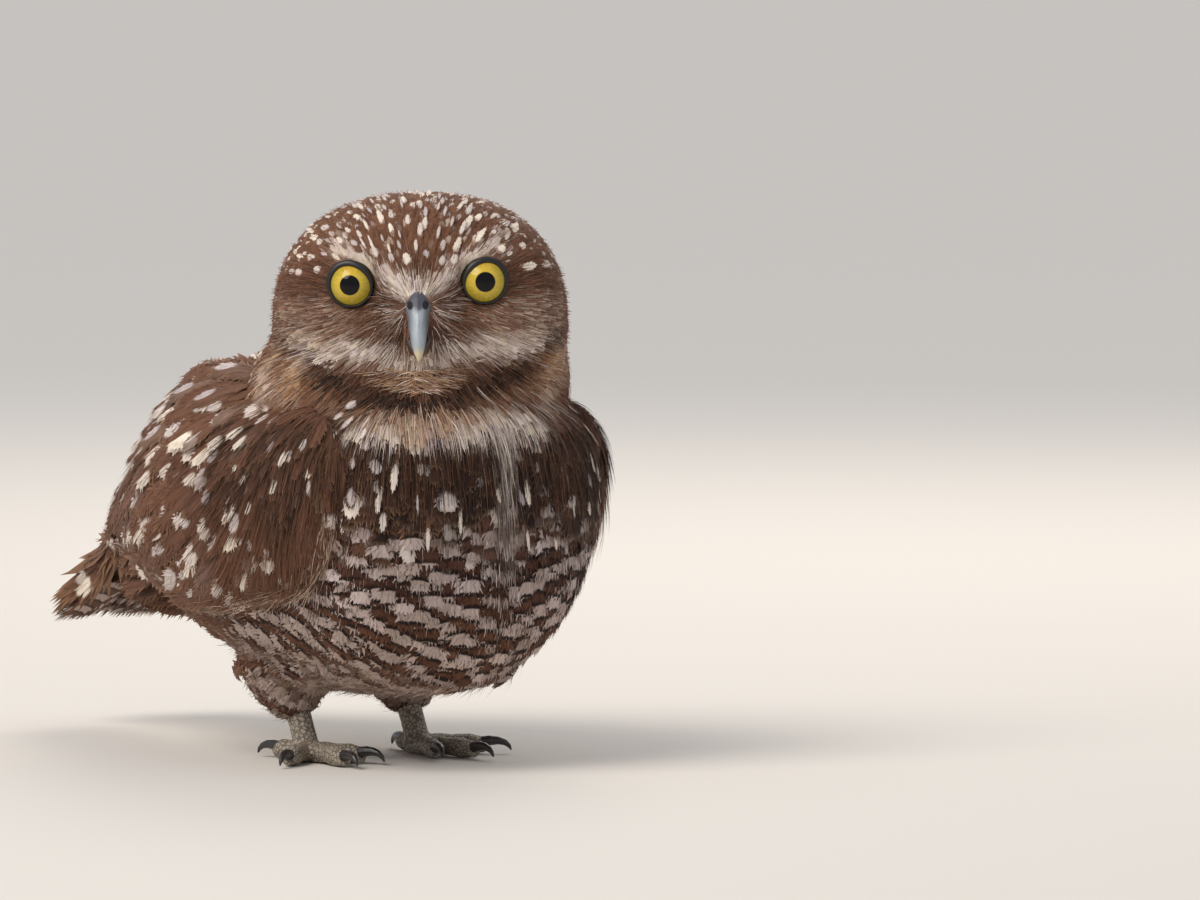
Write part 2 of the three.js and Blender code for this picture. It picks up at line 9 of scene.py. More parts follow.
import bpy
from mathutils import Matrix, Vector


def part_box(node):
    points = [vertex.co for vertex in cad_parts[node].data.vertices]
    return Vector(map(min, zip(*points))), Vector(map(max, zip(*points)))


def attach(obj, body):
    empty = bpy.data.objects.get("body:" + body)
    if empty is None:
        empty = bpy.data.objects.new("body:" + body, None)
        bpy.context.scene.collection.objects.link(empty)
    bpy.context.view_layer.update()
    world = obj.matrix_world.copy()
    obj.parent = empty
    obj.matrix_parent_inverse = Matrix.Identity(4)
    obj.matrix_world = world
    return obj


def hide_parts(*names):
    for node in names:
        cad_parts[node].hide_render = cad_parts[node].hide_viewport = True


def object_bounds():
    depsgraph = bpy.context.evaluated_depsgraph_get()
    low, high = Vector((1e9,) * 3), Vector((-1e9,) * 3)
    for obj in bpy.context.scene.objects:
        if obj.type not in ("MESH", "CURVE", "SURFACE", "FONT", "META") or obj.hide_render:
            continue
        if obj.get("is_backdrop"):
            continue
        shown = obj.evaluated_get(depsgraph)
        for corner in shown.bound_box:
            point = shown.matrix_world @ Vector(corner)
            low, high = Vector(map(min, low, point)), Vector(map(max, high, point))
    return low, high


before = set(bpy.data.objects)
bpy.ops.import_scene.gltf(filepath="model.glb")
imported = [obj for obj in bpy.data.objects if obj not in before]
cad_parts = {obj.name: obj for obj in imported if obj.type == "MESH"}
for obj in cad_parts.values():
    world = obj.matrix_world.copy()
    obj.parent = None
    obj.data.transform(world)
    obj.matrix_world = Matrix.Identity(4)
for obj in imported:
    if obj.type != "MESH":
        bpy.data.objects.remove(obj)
cad_box = [list(corner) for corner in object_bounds()]

import math

import bmesh
import bpy
import numpy as np
from mathutils import Matrix, Vector
from mathutils.bvhtree import BVHTree

print("frame nodes:", len(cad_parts))

# %% [markdown]
# ## The body plan
# The solids were drawn in millimetres on a plan with the breast towards -Y. The plan's origin is found
# again from the torso's box, so every place below can be said in the plan's own round numbers.

# %% Plan places and the head's own axes
MM = 0.001
BREAST_Y = -53.0
HEAD_TURN, HEAD_ROLL = math.radians(-36), math.radians(-1.4)
TORSO_START = BREAST_Y + 0.1  # the torso's box begins this far along the plan
torso_low, torso_high = (np.array(corner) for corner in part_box("torso"))
origin = np.array([(torso_low[0] + torso_high[0]) / 2, torso_low[1] - TORSO_START * MM, 0])


def place(x, y, z):
    """A place on the plan as a point of the frame, in metres."""
    return origin + np.stack(np.broadcast_arrays(x, y, z), -1) * MM


def plan(points):
    """Points of the frame as millimetres on the plan."""
    return (points - origin) / MM


head_centre = place(0, -16, 110)
head_axes = np.array(Matrix.Rotation(HEAD_TURN, 3, "Z") @ Matrix.Rotation(HEAD_ROLL, 3, "Y"))


def in_head(points):
    """Points of the frame as millimetres in the head's own axes: across, back from the face, up."""
    return (points - head_centre) @ head_axes / MM


def from_head(x, y, z):
    """A place in the head's own axes as a point of the frame, in metres."""
    return head_centre + (np.stack(np.broadcast_arrays(x, y, z), -1) * MM) @ head_axes.T


print("plan origin:", origin.round(4))

# %% [markdown]
# ## Number helpers
# Most of a bird's shape and colour is soft steps from one value to another. A few small functions for
# such steps, for unit vectors and for smooth curves through chosen points carry the whole lesson.

# %% Soft steps, unit vectors and curves
def soft(x, low, high):
    """0 below low, 1 above high and smooth between. Low may be the larger number."""
    t = np.clip((x - low) / (high - low), 0, 1)
    return t * t * (3 - 2 * t)


def hill(distance, reach):
    """1 at no distance, falling to about a third at the reach."""
    return np.exp(-((distance / reach) ** 2))


def unit(vectors):
    """The vectors at length 1."""
    return vectors / np.maximum(np.linalg.norm(vectors, axis=-1, keepdims=True), 1e-12)


def flat_on(vectors, normals):
    """What is left of the vectors along the surface, as unit vectors."""
    return unit(vectors - normals * np.sum(vectors * normals, -1, keepdims=True))


def through(*keys):
    """A smooth curve through (position, value) keys that never overshoots them."""
    at, value = np.array(keys, float).T
    slope = np.diff(value) / np.diff(at)
    before, after = np.r_[slope[0], slope], np.r_[slope, slope[-1]]
    rising = before * after > 0
    tangent = np.where(rising, 2 * before * after / np.where(rising, before + after, 1), 0)

    def curve(x):
        x = np.clip(x, at[0], at[-1])
        i = np.clip(np.searchsorted(at, x, side="right") - 1, 0, len(at) - 2)
        span = at[i + 1] - at[i]
        t = (x - at[i]) / span
        rise = value[i] * (1 + 2 * t) * (1 - t) ** 2 + value[i + 1] * t * t * (3 - 2 * t)
        return rise + span * t * (1 - t) * (tangent[i] * (1 - t) - tangent[i + 1] * t)

    return curve


def near_line(x, z, points, reach):
    """1 on a line of straight stretches, falling softly to 0 at some reach from it."""
    far = np.full(np.shape(x), 1e9)
    for (x0, z0), (x1, z1) in zip(points, points[1:]):
        dx, dz = x1 - x0, z1 - z0
        t = np.clip(((x - x0) * dx + (z - z0) * dz) / (dx * dx + dz * dz), 0, 1)
        far = np.minimum(far, np.hypot(x - x0 - t * dx, z - z0 - t * dz))
    return hill(far, reach)


def ripple(points, size, seed):
    """Smooth uneven values about 0, for edges that shouldn't look ruled. Size is a wave's length."""
    chance = np.random.default_rng(seed)
    total = 0
    for turn in range(5):
        way = unit(chance.normal(size=3))
        wave = points @ way * 2 * math.pi / size * (0.7 + 0.25 * turn)
        total = total + np.sin(wave + chance.uniform(0, 6.28))
    return total / 3


print("a soft step from 0 to 1 passes", [round(float(soft(x, 0, 1)), 2) for x in (0.25, 0.5, 0.75)])

# %% [markdown]
# ## From numbers to meshes
# Feathers are made as arrays of points and triangles. Adding them to a mesh one by one would take minutes,
# so one function hands whole arrays to a Blender mesh, with its named UV maps and the colour attributes
# that the materials read. A second one finishes a piece: its body, material and the nodes it replaces.

# %% Mesh maker
def make_piece(name, points, triangles, maps=None, looks=None):
    """A smooth-shaded object from arrays. Maps are UVs, and looks are four numbers for each point."""
    mesh = bpy.data.meshes.new(name)
    triangles = np.asarray(triangles, np.int32)
    mesh.vertices.add(len(points))
    mesh.vertices.foreach_set("co", np.asarray(points, np.float32).ravel())
    mesh.loops.add(triangles.size)
    mesh.loops.foreach_set("vertex_index", triangles.ravel())
    mesh.polygons.add(len(triangles))
    mesh.polygons.foreach_set("loop_start", np.arange(0, triangles.size, 3, dtype=np.int32))
    mesh.update(calc_edges=True)
    mesh.polygons.foreach_set("use_smooth", np.ones(len(triangles), bool))
    for map_name, values in (maps or {}).items():
        layer = mesh.uv_layers.new(name=map_name)
        per_corner = values if len(values) == triangles.size else values[triangles.ravel()]
        layer.uv.foreach_set("vector", np.asarray(per_corner, np.float32).ravel())
    for look_name, values in (looks or {}).items():
        layer = mesh.attributes.new(look_name, "FLOAT_COLOR", "POINT")
        layer.data.foreach_set("color", np.asarray(values, np.float32).ravel())
    piece = bpy.data.objects.new(name, mesh)
    bpy.context.scene.collection.objects.link(piece)
    return piece


def arrays_of(mesh):
    """A mesh as arrays: its points, triangles and the smooth normals at its points."""
    mesh.calc_loop_triangles()
    points = np.empty(len(mesh.vertices) * 3)
    mesh.vertices.foreach_get("co", points)
    normals = np.empty(len(mesh.vertices) * 3)
    mesh.vertices.foreach_get("normal", normals)
    triangles = np.empty(len(mesh.loop_triangles) * 3, np.int32)
    mesh.loop_triangles.foreach_get("vertices", triangles)
    return points.reshape(-1, 3), triangles.reshape(-1, 3), normals.reshape(-1, 3)


def finished(piece, material, replaces=()):
    """Rides the piece on the one body, material and the nodes it stands for."""
    piece.data.materials.append(material)
    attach(piece, "root")
    if replaces:
        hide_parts(*replaces)
    print(f"{piece.name}: {len(piece.data.polygons)} faces")
    return piece


# %% [markdown]
# ## One skin under the coat
# On the real bird one skin runs over head, neck, breast and thighs. The solids have thin cuts between
# these parts, and a boolean union would keep every cut as a crease. Swelled a little, joined and remeshed
# in one grid, they give a single closed surface, which is then smoothed.

# %% Join, remesh and smooth the flesh
def remeshed(name, nodes, swell, voxel, rounds):
    """The nodes, each swelled in metres, as one closed smooth surface: points, triangles, normals."""
    joined = bmesh.new()
    for node in nodes:
        part = bmesh.new()
        part.from_mesh(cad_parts[node].data)
        bmesh.ops.remove_doubles(part, verts=part.verts, dist=1e-6)
        bmesh.ops.recalc_face_normals(part, faces=part.faces)
        part.normal_update()
        for vert in part.verts:
            vert.co += vert.normal * swell
        held = bpy.data.meshes.new("held")
        part.to_mesh(held)
        part.free()
        joined.from_mesh(held)
        bpy.data.meshes.remove(held)
    mesh = bpy.data.meshes.new(name)
    joined.to_mesh(mesh)
    joined.free()
    worked = bpy.data.objects.new(name, mesh)
    bpy.context.scene.collection.objects.link(worked)
    remesh = worked.modifiers.new("remesh", "REMESH")
    remesh.mode = "VOXEL"
    remesh.voxel_size = voxel
    relax = worked.modifiers.new("relax", "SMOOTH")
    relax.factor = 0.5
    relax.iterations = rounds
    evaluated = worked.evaluated_get(bpy.context.evaluated_depsgraph_get())
    shape = bmesh.new()
    shape.from_mesh(evaluated.to_mesh())
    evaluated.to_mesh_clear()
    keep_largest(shape)
    bmesh.ops.triangulate(shape, faces=shape.faces)
    bmesh.ops.recalc_face_normals(shape, faces=shape.faces)
    shape.to_mesh(mesh)
    shape.free()
    result = arrays_of(mesh)
    bpy.data.objects.remove(worked)
    bpy.data.meshes.remove(mesh)
    return result


def keep_largest(shape):
    """Deletes every island of the mesh but the one with the most points."""
    unseen, islands = set(shape.verts), []
    while unseen:
        island, edge = set(), [next(iter(unseen))]
        while edge:
            vert = edge.pop()
            if vert in island:
                continue
            island.add(vert)
            edge.extend(link.other_vert(vert) for link in vert.link_edges)
        unseen -= island
        islands.append(island)
    islands.sort(key=len)
    for island in islands[:-1]:
        bmesh.ops.delete(shape, geom=list(island), context="VERTS")


FLESH = ("head", "neck", "torso", "thigh_left", "thigh_right")
UNDER = FLESH + ("eye_left", "eye_right", "bill_upper", "bill_lower")
full_points, skin_triangles, skin_normals = remeshed("skin", UNDER, swell=0.0005, voxel=0.0014,
                                                       rounds=8)
print("skin:", len(skin_triangles), "triangles")

# %% [markdown]
# ## Room for the coat
# Feathers rise from the skin and end at the outline, so the skin has to lie deeper than the outline by the
# thickness of the coat: about a millimetre on the face and three on the back. Round each eye it is pressed
# back into a shallow dish, as a facial disc is, so that the whole lid shows.

# %% Draw the skin in by the coat's depth
# Millimetres: each eye's place across and up, its opening's radius, and the lids' plane before its centre.
EYE_SPREAD, EYE_RISE, EYE_OPENING, LID_PLANE = 15.75, 12.0, 5.1, 6.2
EYE_TURN = 7  # degrees outward from the head's own line
DISH_FLAT, DISH_RADIUS, DISH_DEPTH, DISH_REACH = 6.0, 11.0, 3.4, 14
eye_box = [np.array(corner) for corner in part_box("eye_left")]
head_eye_depth = float(in_head((eye_box[0] + eye_box[1])[None] / 2)[0, 1])
print("eyeball centre behind the face by", round(head_eye_depth, 1), "mm")


def coat_depth(points):
    """Millimetres of plumage over the skin: thin on the face, deep on breast and back."""
    head, body = in_head(points), plan(points)
    depth = 0.9 + 0.7 * soft(head[:, 1], -24, -5) + 1.3 * soft(head[:, 2], -4, -22)
    depth += 0.4 * soft(body[:, 1], 0, 40)
    return np.where(body[:, 2] < 24, np.minimum(depth, 1.2), depth)


def eye_axes(side):
    """The eye's centre and its own axes, turned a little outward from the head's."""
    turn = np.array(Matrix.Rotation(math.radians(side * EYE_TURN), 3, "Z"))
    return from_head(side * EYE_SPREAD, head_eye_depth, EYE_RISE), head_axes @ turn


def dished(points, side):
    """Presses the skin back round an eye: a flat under the lid, then a slope down to the dish's rim."""
    centre, axes = eye_axes(side)
    local = (points - centre) @ axes / MM
    away = np.hypot(local[:, 0], local[:, 2])
    limit = 0.6 - LID_PLANE - DISH_DEPTH * soft(away, DISH_FLAT, DISH_RADIUS)
    near = (away < DISH_RADIUS) & (local[:, 1] < 0) & (local[:, 1] > -DISH_REACH)
    local[:, 1] = np.where(near, np.maximum(local[:, 1], limit), local[:, 1])
    return centre + local @ axes.T * MM


def smooth_normals(points, triangles):
    """Normals at the points, from the triangles round each, the larger ones weighing more."""
    corners = points[triangles]
    flat = np.cross(corners[:, 1] - corners[:, 0], corners[:, 2] - corners[:, 0])
    total = np.zeros_like(points)
    for k in range(3):
        np.add.at(total, triangles[:, k], flat)
    return unit(total)


skin_points = full_points - skin_normals * coat_depth(full_points)[:, None] * MM
skin_points = dished(dished(skin_points, -1), 1)
skin_normals = smooth_normals(skin_points, skin_triangles)
print("coat depth mm:", coat_depth(full_points).min().round(2), coat_depth(full_points).max().round(2))

# %% [markdown]
# ## Asking the skin
# Each feather needs to know where the skin is under it and which way it faces. A tree of the skin's
# triangles answers that, and the corner weights of the triangle it finds give a smooth normal and the
# place on the skin's flat unwrap, which the coat's bake patches use.

# %% Surfaces that can be asked
TRIES = 5  # random places tried for each cell of the spacing


class Surface:
    """Triangles that know their nearest place, their smooth normals and their unwrap."""

    def __init__(self, points, triangles, normals, unwrap=None):
        self.points, self.triangles, self.normals, self.unwrap = points, triangles, normals, unwrap
        self.tree = BVHTree.FromPolygons(points.tolist(), triangles.tolist())

    def find(self, points):
        """The nearest places on the surface, as positions and the triangles' numbers."""
        found = [self.tree.find_nearest(p) for p in points.tolist()]
        return np.array([f[0] for f in found]), np.array([f[2] for f in found])

    def weights(self, positions, faces):
        """How near each position is to the three corners of its triangle, as shares of 1."""
        a, b, c = (self.points[self.triangles[faces, k]] for k in range(3))
        ab, ac, ap = b - a, c - a, positions - a
        d00, d01, d11 = (ab * ab).sum(-1), (ab * ac).sum(-1), (ac * ac).sum(-1)
        d20, d21 = (ap * ab).sum(-1), (ap * ac).sum(-1)
        under = np.maximum(d00 * d11 - d01 * d01, 1e-24)
        v, w = (d11 * d20 - d01 * d21) / under, (d00 * d21 - d01 * d20) / under
        return np.clip(np.stack([1 - v - w, v, w], -1), 0, 1)

    def nearest(self, points):
        """The nearest positions and smooth normals."""
        positions, faces = self.find(points)
        share = self.weights(positions, faces)
        return positions, unit((self.normals[self.triangles[faces]] * share[..., None]).sum(1))

    def unwrapped(self, points):
        """The places on the flat unwrap that lie under the points."""
        positions, faces = self.find(points)
        share = self.weights(positions, faces)
        return (self.unwrap[faces] * share[..., None]).sum(1)

    def scatter(self, wanted, spacing, seed):
        """Evenly spread random places where wanted(points, normals) is true."""
        chance = np.random.default_rng(seed)
        a, b, c = (self.points[self.triangles[:, k]] for k in range(3))
        area = np.linalg.norm(np.cross(b - a, c - a), axis=1) / 2
        middle = (a + b + c) / 3
        facing = unit(self.normals[self.triangles].sum(1))
        area = area * wanted(middle, facing)
        tries = int(TRIES * area.sum() / spacing**2)
        face = chance.choice(len(area), size=tries, p=area / area.sum())
        u, v = chance.random((2, tries))
        over = u + v > 1
        u, v = np.where(over, 1 - u, u), np.where(over, 1 - v, v)
        spots = a[face] + (b - a)[face] * u[:, None] + (c - a)[face] * v[:, None]
        kept = thinned(spots, spacing)
        share = np.stack([1 - u - v, u, v], -1)[kept]
        normal = unit((self.normals[self.triangles[face[kept]]] * share[..., None]).sum(1))
        return spots[kept], normal


print("corners of the skin to ask:", skin_triangles.size)

# %% [markdown]
# ## Room round each root
# Feathers grow in a nearly even pattern. Purely random places crowd in some spots and leave others bare, and
# a grid would show as rows. So many random places are tried, and each is kept only if no kept one is nearer
# than the spacing. Sorting them into cells of that width leaves only the neighbouring cells to compare.

# %% Keep places apart
def thinned(spots, spacing):
    """Drops each place that is nearer than spacing to one already kept."""
    cells, kept = {}, []
    homes = np.floor(spots / spacing).astype(int).tolist()
    places, reach = spots.tolist(), spacing * spacing
    around = [(i, j, k) for i in (-1, 0, 1) for j in (-1, 0, 1) for k in (-1, 0, 1)]
    for n, ((i, j, k), (x, y, z)) in enumerate(zip(homes, places)):
        crowded = False
        for di, dj, dk in around:
            for ox, oy, oz in cells.get((i + di, j + dj, k + dk), ()):
                if (ox - x) ** 2 + (oy - y) ** 2 + (oz - z) ** 2 < reach:
                    crowded = True
                    break
            if crowded:
                break
        if not crowded:
            cells.setdefault((i, j, k), []).append((x, y, z))
            kept.append(n)
    return np.array(kept)


tried = np.random.default_rng(0).random((1000, 3)) * np.array([1, 1, 0])
print("of 1000 places on a square, kept at a tenth apart:", len(thinned(tried, 0.1)))

# %% [markdown]
# ## Unwrapping the skin
# A flat map of the skin's own shape gives each feather its own small place in a picture, whatever way it
# is looked at. Seams marked by hand would make fewer charts, but they would have to follow every change of
# the shape. Blender's projection by angle cuts the closed skin into charts by itself.

# %% Unwrap by angle
def unwrapped_corners(points, triangles):
    """UVs for each corner of each triangle, shaped (triangles, 3, 2)."""
    flat = make_piece("flat", points, triangles, {"OFBake": np.zeros((len(points), 2))})
    bpy.context.view_layer.objects.active = flat
    flat.select_set(True)
    bpy.ops.object.mode_set(mode="EDIT")
    bpy.ops.mesh.select_all(action="SELECT")
    bpy.ops.uv.smart_project(angle_limit=math.radians(72), island_margin=0.004)
    bpy.ops.object.mode_set(mode="OBJECT")
    corners = np.empty(len(triangles) * 6, np.float32)
    flat.data.uv_layers["OFBake"].uv.foreach_get("vector", corners)
    mesh = flat.data
    bpy.data.objects.remove(flat)
    bpy.data.meshes.remove(mesh)
    return corners.reshape(-1, 3, 2)


skin_unwrap = unwrapped_corners(skin_points, skin_triangles)
skin = Surface(skin_points, skin_triangles, skin_normals, skin_unwrap)
print("unwrap spans", skin_unwrap.min((0, 1)).round(3), skin_unwrap.max((0, 1)).round(3))

# %% [markdown]
# ## The folded wing's bed
# The wing lies over the body's side and carries on past the rump. It is described on the same sections
# as the torso: a distance along the body, an angle round it and a height over it. The curves repeat the
# solids' own named values, so the feathers come out where the solid vanes are.

# %% Sections of the body, carried on past the rump
WING_PROUD, SCAPULAR_PROUD = 5.6, 4.6  # how far the wing and shoulder feathers stand over the body
body_half = through((-20, 50.5), (0, 51), (20, 49.5), (35, 47.5), (52, 42.5), (70, 35), (90, 25.5),
                    (110, 18), (133, 13.5))
body_top = through((-20, 100), (0, 105), (20, 109.5), (35, 109), (45, 104.5), (52, 99), (70, 81.5),
                   (90, 60.5), (110, 42), (133, 28.5))
body_bottom = through((-20, 17.8), (0, 16.8), (20, 17.5), (40, 22), (60, 30), (75, 36), (90, 38),
                      (110, 33), (133, 25))
body_waist = through((-20, 74), (0, 68), (20, 62), (52, 60), (70, 57), (90, 49), (110, 40), (133, 28))
wing_share = through((-20, 1), (70, 1), (100, 0.6), (133, 0.2))
scapular_share = through((-30, 0), (10, 1), (70, 1), (133, 0.2))
BREAST_ROUND_Y, BREAST_POWER, SECTION_POWER = -14, 2.8, 2.25


def section(y):
    """Half width, waist height, rise and drop of the body across y."""
    front = np.clip((BREAST_ROUND_Y - y) / (BREAST_ROUND_Y - BREAST_Y), 0, 1)
    close = (1 - front**BREAST_POWER) ** (1 / BREAST_POWER)
    waist = body_waist(y)
    half = (body_half(y) - WING_PROUD * wing_share(y)) * close
    rise = (body_top(y) - SCAPULAR_PROUD * scapular_share(y) - waist) * close
    return half, waist, rise, (waist - body_bottom(y)) * close


def on_section(side, y, angle):
    """Points on the body at a distance along it and an angle round it, in degrees."""
    half, waist, rise, drop = section(y)
    turn = np.radians(angle)
    bent = lambda v: np.sign(v) * np.abs(v) ** (2 / SECTION_POWER)
    up = bent(np.sin(turn))
    return place(side * half * bent(np.cos(turn)), y, waist + up * np.where(up > 0, rise, drop))


def over_body(side, y, angle, height):
    """Points at a height in millimetres over the body, and the outward normals there."""
    y, angle, height = np.broadcast_arrays(*(np.asarray(v, float) for v in (y, angle, height)))
    along = on_section(side, y + 1, angle) - on_section(side, y - 1, angle)
    round_it = on_section(side, y, angle + 2) - on_section(side, y, angle - 2)
    normal = unit(np.cross(along, round_it)) * -side
    normal = np.where(normal[..., :1] * side < 0, -normal, normal)
    return on_section(side, y, angle) + normal * height[..., None] * MM, normal


def body_angle(points):
    """The angle round the body of points near it: 0 at the side, 90 on the back."""
    x, y, z = plan(points).T
    half, waist, rise, drop = section(y)
    across = np.clip(np.abs(x) / np.maximum(half, 1), 0, 1.4) ** (SECTION_POWER / 2)
    up = (z - waist) / np.maximum(np.where(z > waist, rise, drop), 1)
    return np.degrees(np.arctan2(np.sign(up) * np.abs(up) ** (SECTION_POWER / 2), across))


WING_START, WING_END = -39, 94
wing_low = through((WING_START, -2), (-33, -20), (-20, -30), (10, -31), (50, -25), (WING_END, -8))
wing_high = through((WING_START, 12), (-30, 34), (-10, 47), (30, 58), (70, 62), (WING_END, 60))
print("section at y 20:", [float(round(v, 1)) for v in section(np.array(20.0))])

# %% [markdown]
# ## Where each colour grows
# The markings belong to places on the bird: cream brows, a cream crescent under the cheeks, a dark collar,
# a pale throat, bars on the breast. A painted picture would hold them too, but only on one unwrap. Here
# they are written as soft regions, once, and both the skin and every feather ask the same function, so a
# gap in the coat never shows a wrong colour.

# %% Regions of the plumage
# Lines of the face as (across, up) in the head's own axes, from the outer end to the middle.
BROW = [(20.5, 21.8), (16.5, 20.6), (11.5, 17.6), (7, 14.2), (3, 12.5)]
MOUSTACHE = [(30, -2.5), (23.5, -5.2), (16, -4.6), (10, -5.6), (5.5, -8), (0, -9.5)]
COLLAR = [(35, -2.5), (29.5, -9), (20.5, -13.5), (9.5, -17), (0, -18.2)]
BAR_PITCH = 7.0
CREASE_ACROSS = 31.0  # the bars run down to the breast's middle line from both sides


def plumage_at(points, normals):
    """Two rows of four shares for each place: (pale, dark, warm, -) and (spot, bar, streak, bar phase)."""
    x, y, z = in_head(points).T
    side = np.abs(x + 0.7 * ripple(points, 0.012, 3))
    z = z + 0.6 * ripple(points, 0.008, 4)
    across, along, up = plan(points).T
    uneven = ripple(points, 0.016, 5)
    # The face, which only the front of the head carries.
    front = soft(y, -4, -13)
    eye_x, eye_z = np.abs(x) - EYE_SPREAD, z - EYE_RISE
    brow = near_line(side, z, BROW, 2.3) * front
    between = hill(side, 6.5) * hill(z - 12.5, 3.2) * front
    lore = hill(np.hypot(side - 8, z - 4.5), 4.5) * front
    moustache = near_line(side, z, MOUSTACHE, 2.7) * front
    rim = hill(z + 11.8 - 0.011 * x * x, 2.6) * hill(side, 17) * front
    collar = near_line(side, z, COLLAR, 3.3) * front
    below_collar = near_line(side, z + 5.2, COLLAR, 2.8) * front
    cheek = soft(side, 12, 20) * soft(z, 12, 5) * soft(z, -5, -1) * front
    under_eye = hill(np.hypot(eye_x + 2.5, eye_z + 7.8), 3.3) * front
    eye_corner = hill(np.hypot(eye_x + 5.5, eye_z + 3.5), 2.2) * front
    behind_eye = hill(np.hypot(eye_x - 9, eye_z + 0.5), 5) * front
    middle = hill(side, 2.0) * hill(z - 16.5, 2.6) * front
    gape = hill(np.hypot(side - 6.2, z + 1.6), 2.4) * front
    # The neck, throat and crown.
    head = soft(z, -24, -19)
    neck_side = soft(side, 25, 32) * soft(z, -26, -19) * soft(z, -1, -9) * soft(y, 10, -4)
    throat_front = soft(y, -6, -18) * hill(np.clip(np.abs(x - 7) - 19, 0, None), 7)
    throat = soft(z, -20, -22.5) * soft(z, -30, -27) * throat_front
    crown = head * (1 - front * soft(z, 17, 12)) * soft(z, -16, -6)
    forehead = hill(side, 13) * soft(z, 13, 17) * soft(z, 31, 26) * front
    # The body, on the plan.
    breast = soft(along, 28, 6) * soft(up, 90, 82) * (1 - throat)
    belly = soft(up + 6 * uneven, 66, 53) * soft(along, 62, 32)
    under = soft(-normals[:, 2], 0.45, 0.85) * soft(up, 38, 22)
    crease = hill(across, 2.6) * soft(along, -40, -46) * soft(up, 38, 46) * soft(up, 92, 86)
    # What is pale, dark and warm.
    pale = 0.95 * brow + 0.85 * between + 0.35 * lore + moustache + 0.8 * throat + 0.35 * rim
    pale = pale + 0.35 * below_collar + 0.55 * crease + 0.24 * cheek
    pale = np.clip(pale * (1 - 0.85 * middle) * (1 - 0.75 * collar) * (1 - 0.6 * eye_corner), 0, 1)
    pale = np.maximum(np.maximum(pale, 0.5 * under), 0.4 * neck_side * (1 + uneven))
    dark = 1.1 * collar + 0.35 * middle + 0.8 * breast * (1 - belly) + 0.5 * under_eye + 0.8 * eye_corner
    dark = np.clip(dark + 0.3 * behind_eye + 0.7 * gape + 0.25 * uneven * breast, 0, 1)
    warm = 0.45 * cheek + 0.35 * soft(up, 54, 34) * breast + 0.2 * crown + 0.9 * rim + 0.75 * below_collar
    warm = np.clip(warm + 0.5 * under_eye + 0.6 * neck_side, 0, 1)
    # What is spotted, barred and streaked, and where each bar falls.
    spot = np.clip(crown * 0.9 + soft(along, 8, 24) + 0.6 * breast * (1 - belly), 0, 1)
    spot = spot * (1 - 0.9 * forehead) * (1 - throat) * (1 - collar) * (1 - under) * (1 - moustache)
    bar = np.clip(belly * breast * (1 - under * 0.5), 0, 1)
    streak = 0.3 * cheek
    seen_across = 0.809 * across - 0.588 * along - CREASE_ACROSS
    phase = (up - 0.5 * np.abs(seen_across) + 2.2 * uneven) / BAR_PITCH
    ground = np.stack([pale, dark, warm, np.zeros_like(pale)], -1)
    return ground, np.stack([spot, bar, streak, phase], -1)


skin_ground, skin_marks = plumage_at(skin_points, skin_normals)
print("mean pale, dark, warm:", skin_ground.mean(0)[:3].round(3))

# %% [markdown]
# ## The lie of the coat
# On the head feathers stream away from the bill and round the eyes. Behind and below it they turn down
# the breast and back towards the tail. Combing by hand would have to be done again after each change of
# the shape. This field gives one direction at any place, blended from those few flows.

# %% Which way feathers point
FACE_MIDDLE = np.array([0, -27, 6.0])


def lie(points, normals):
    """The unit direction along the surface in which a feather at each point lies."""
    head, body = in_head(points), plan(points)
    backward = soft(body[:, 1], -38, 26)[:, None]
    heading = (1 - backward) * np.array([0, 0.12, -1]) + backward * np.array([0, 0.85, -0.52])
    beneath = soft(-normals[:, 2], 0.3, 0.8)[:, None]
    heading = heading * (1 - beneath) + beneath * np.array([0, 1, -0.1])
    outward = unit(head - FACE_MIDDLE)
    for side in (-1, 1):
        from_eye = head - np.array([side * EYE_SPREAD, head_eye_depth, EYE_RISE])
        near = hill(np.linalg.norm(from_eye, axis=1), 10)[:, None]
        outward = outward * (1 - 0.85 * near) + unit(from_eye) * 0.85 * near
    on_head = soft(head[:, 2], -26, -12)[:, None]
    heading = unit(heading) * (1 - on_head) + (unit(outward) @ head_axes.T) * on_head
    return flat_on(heading, normals)


print("mean backward share of the lie:", lie(skin_points, skin_normals)[:, 1].mean().round(2))

# %% [markdown]
# ## Laying a shaft on the body
# A feather's shaft follows the body under it and rises slowly from root to tip. With one steady slope for
# all, every feather lies over the roots of those behind it, like tiles, and none cuts through another.

# %% Shafts on a surface
OFF_SURFACE = 1.2  # a shaft further than this from the surface runs straight on, as at a wing's edge


def lay_shafts(surface, roots, headings, length, slope, steps=5, follow=0.5, start=0.0):
    """Points, sideways and outward directions along each shaft, each shaped (count, steps, 3).

    Slope is the rise over length, follow the share by which each step turns to the lie of the coat, and
    start the height of the root in metres.
    """
    here, way = roots, headings
    shafts, sideways, outward = [], [], []
    for step in range(steps):
        near, normal = surface.nearest(here)
        past_edge = np.linalg.norm(here - near, axis=1, keepdims=True) > OFF_SURFACE * MM
        near = np.where(past_edge, here, near)
        way = flat_on(way * (1 - follow) + lie(near, normal) * follow, normal) if step else way
        reach = length * step / (steps - 1)
        shafts.append(near + normal * (start + slope * reach)[:, None])
        sideways.append(np.cross(way, normal))
        outward.append(normal)
        here = near + way * (length / (steps - 1))[:, None]
    return np.stack(shafts, 1), np.stack(sideways, 1), np.stack(outward, 1)


print("farthest a shaft follows past an edge, mm:", OFF_SURFACE)

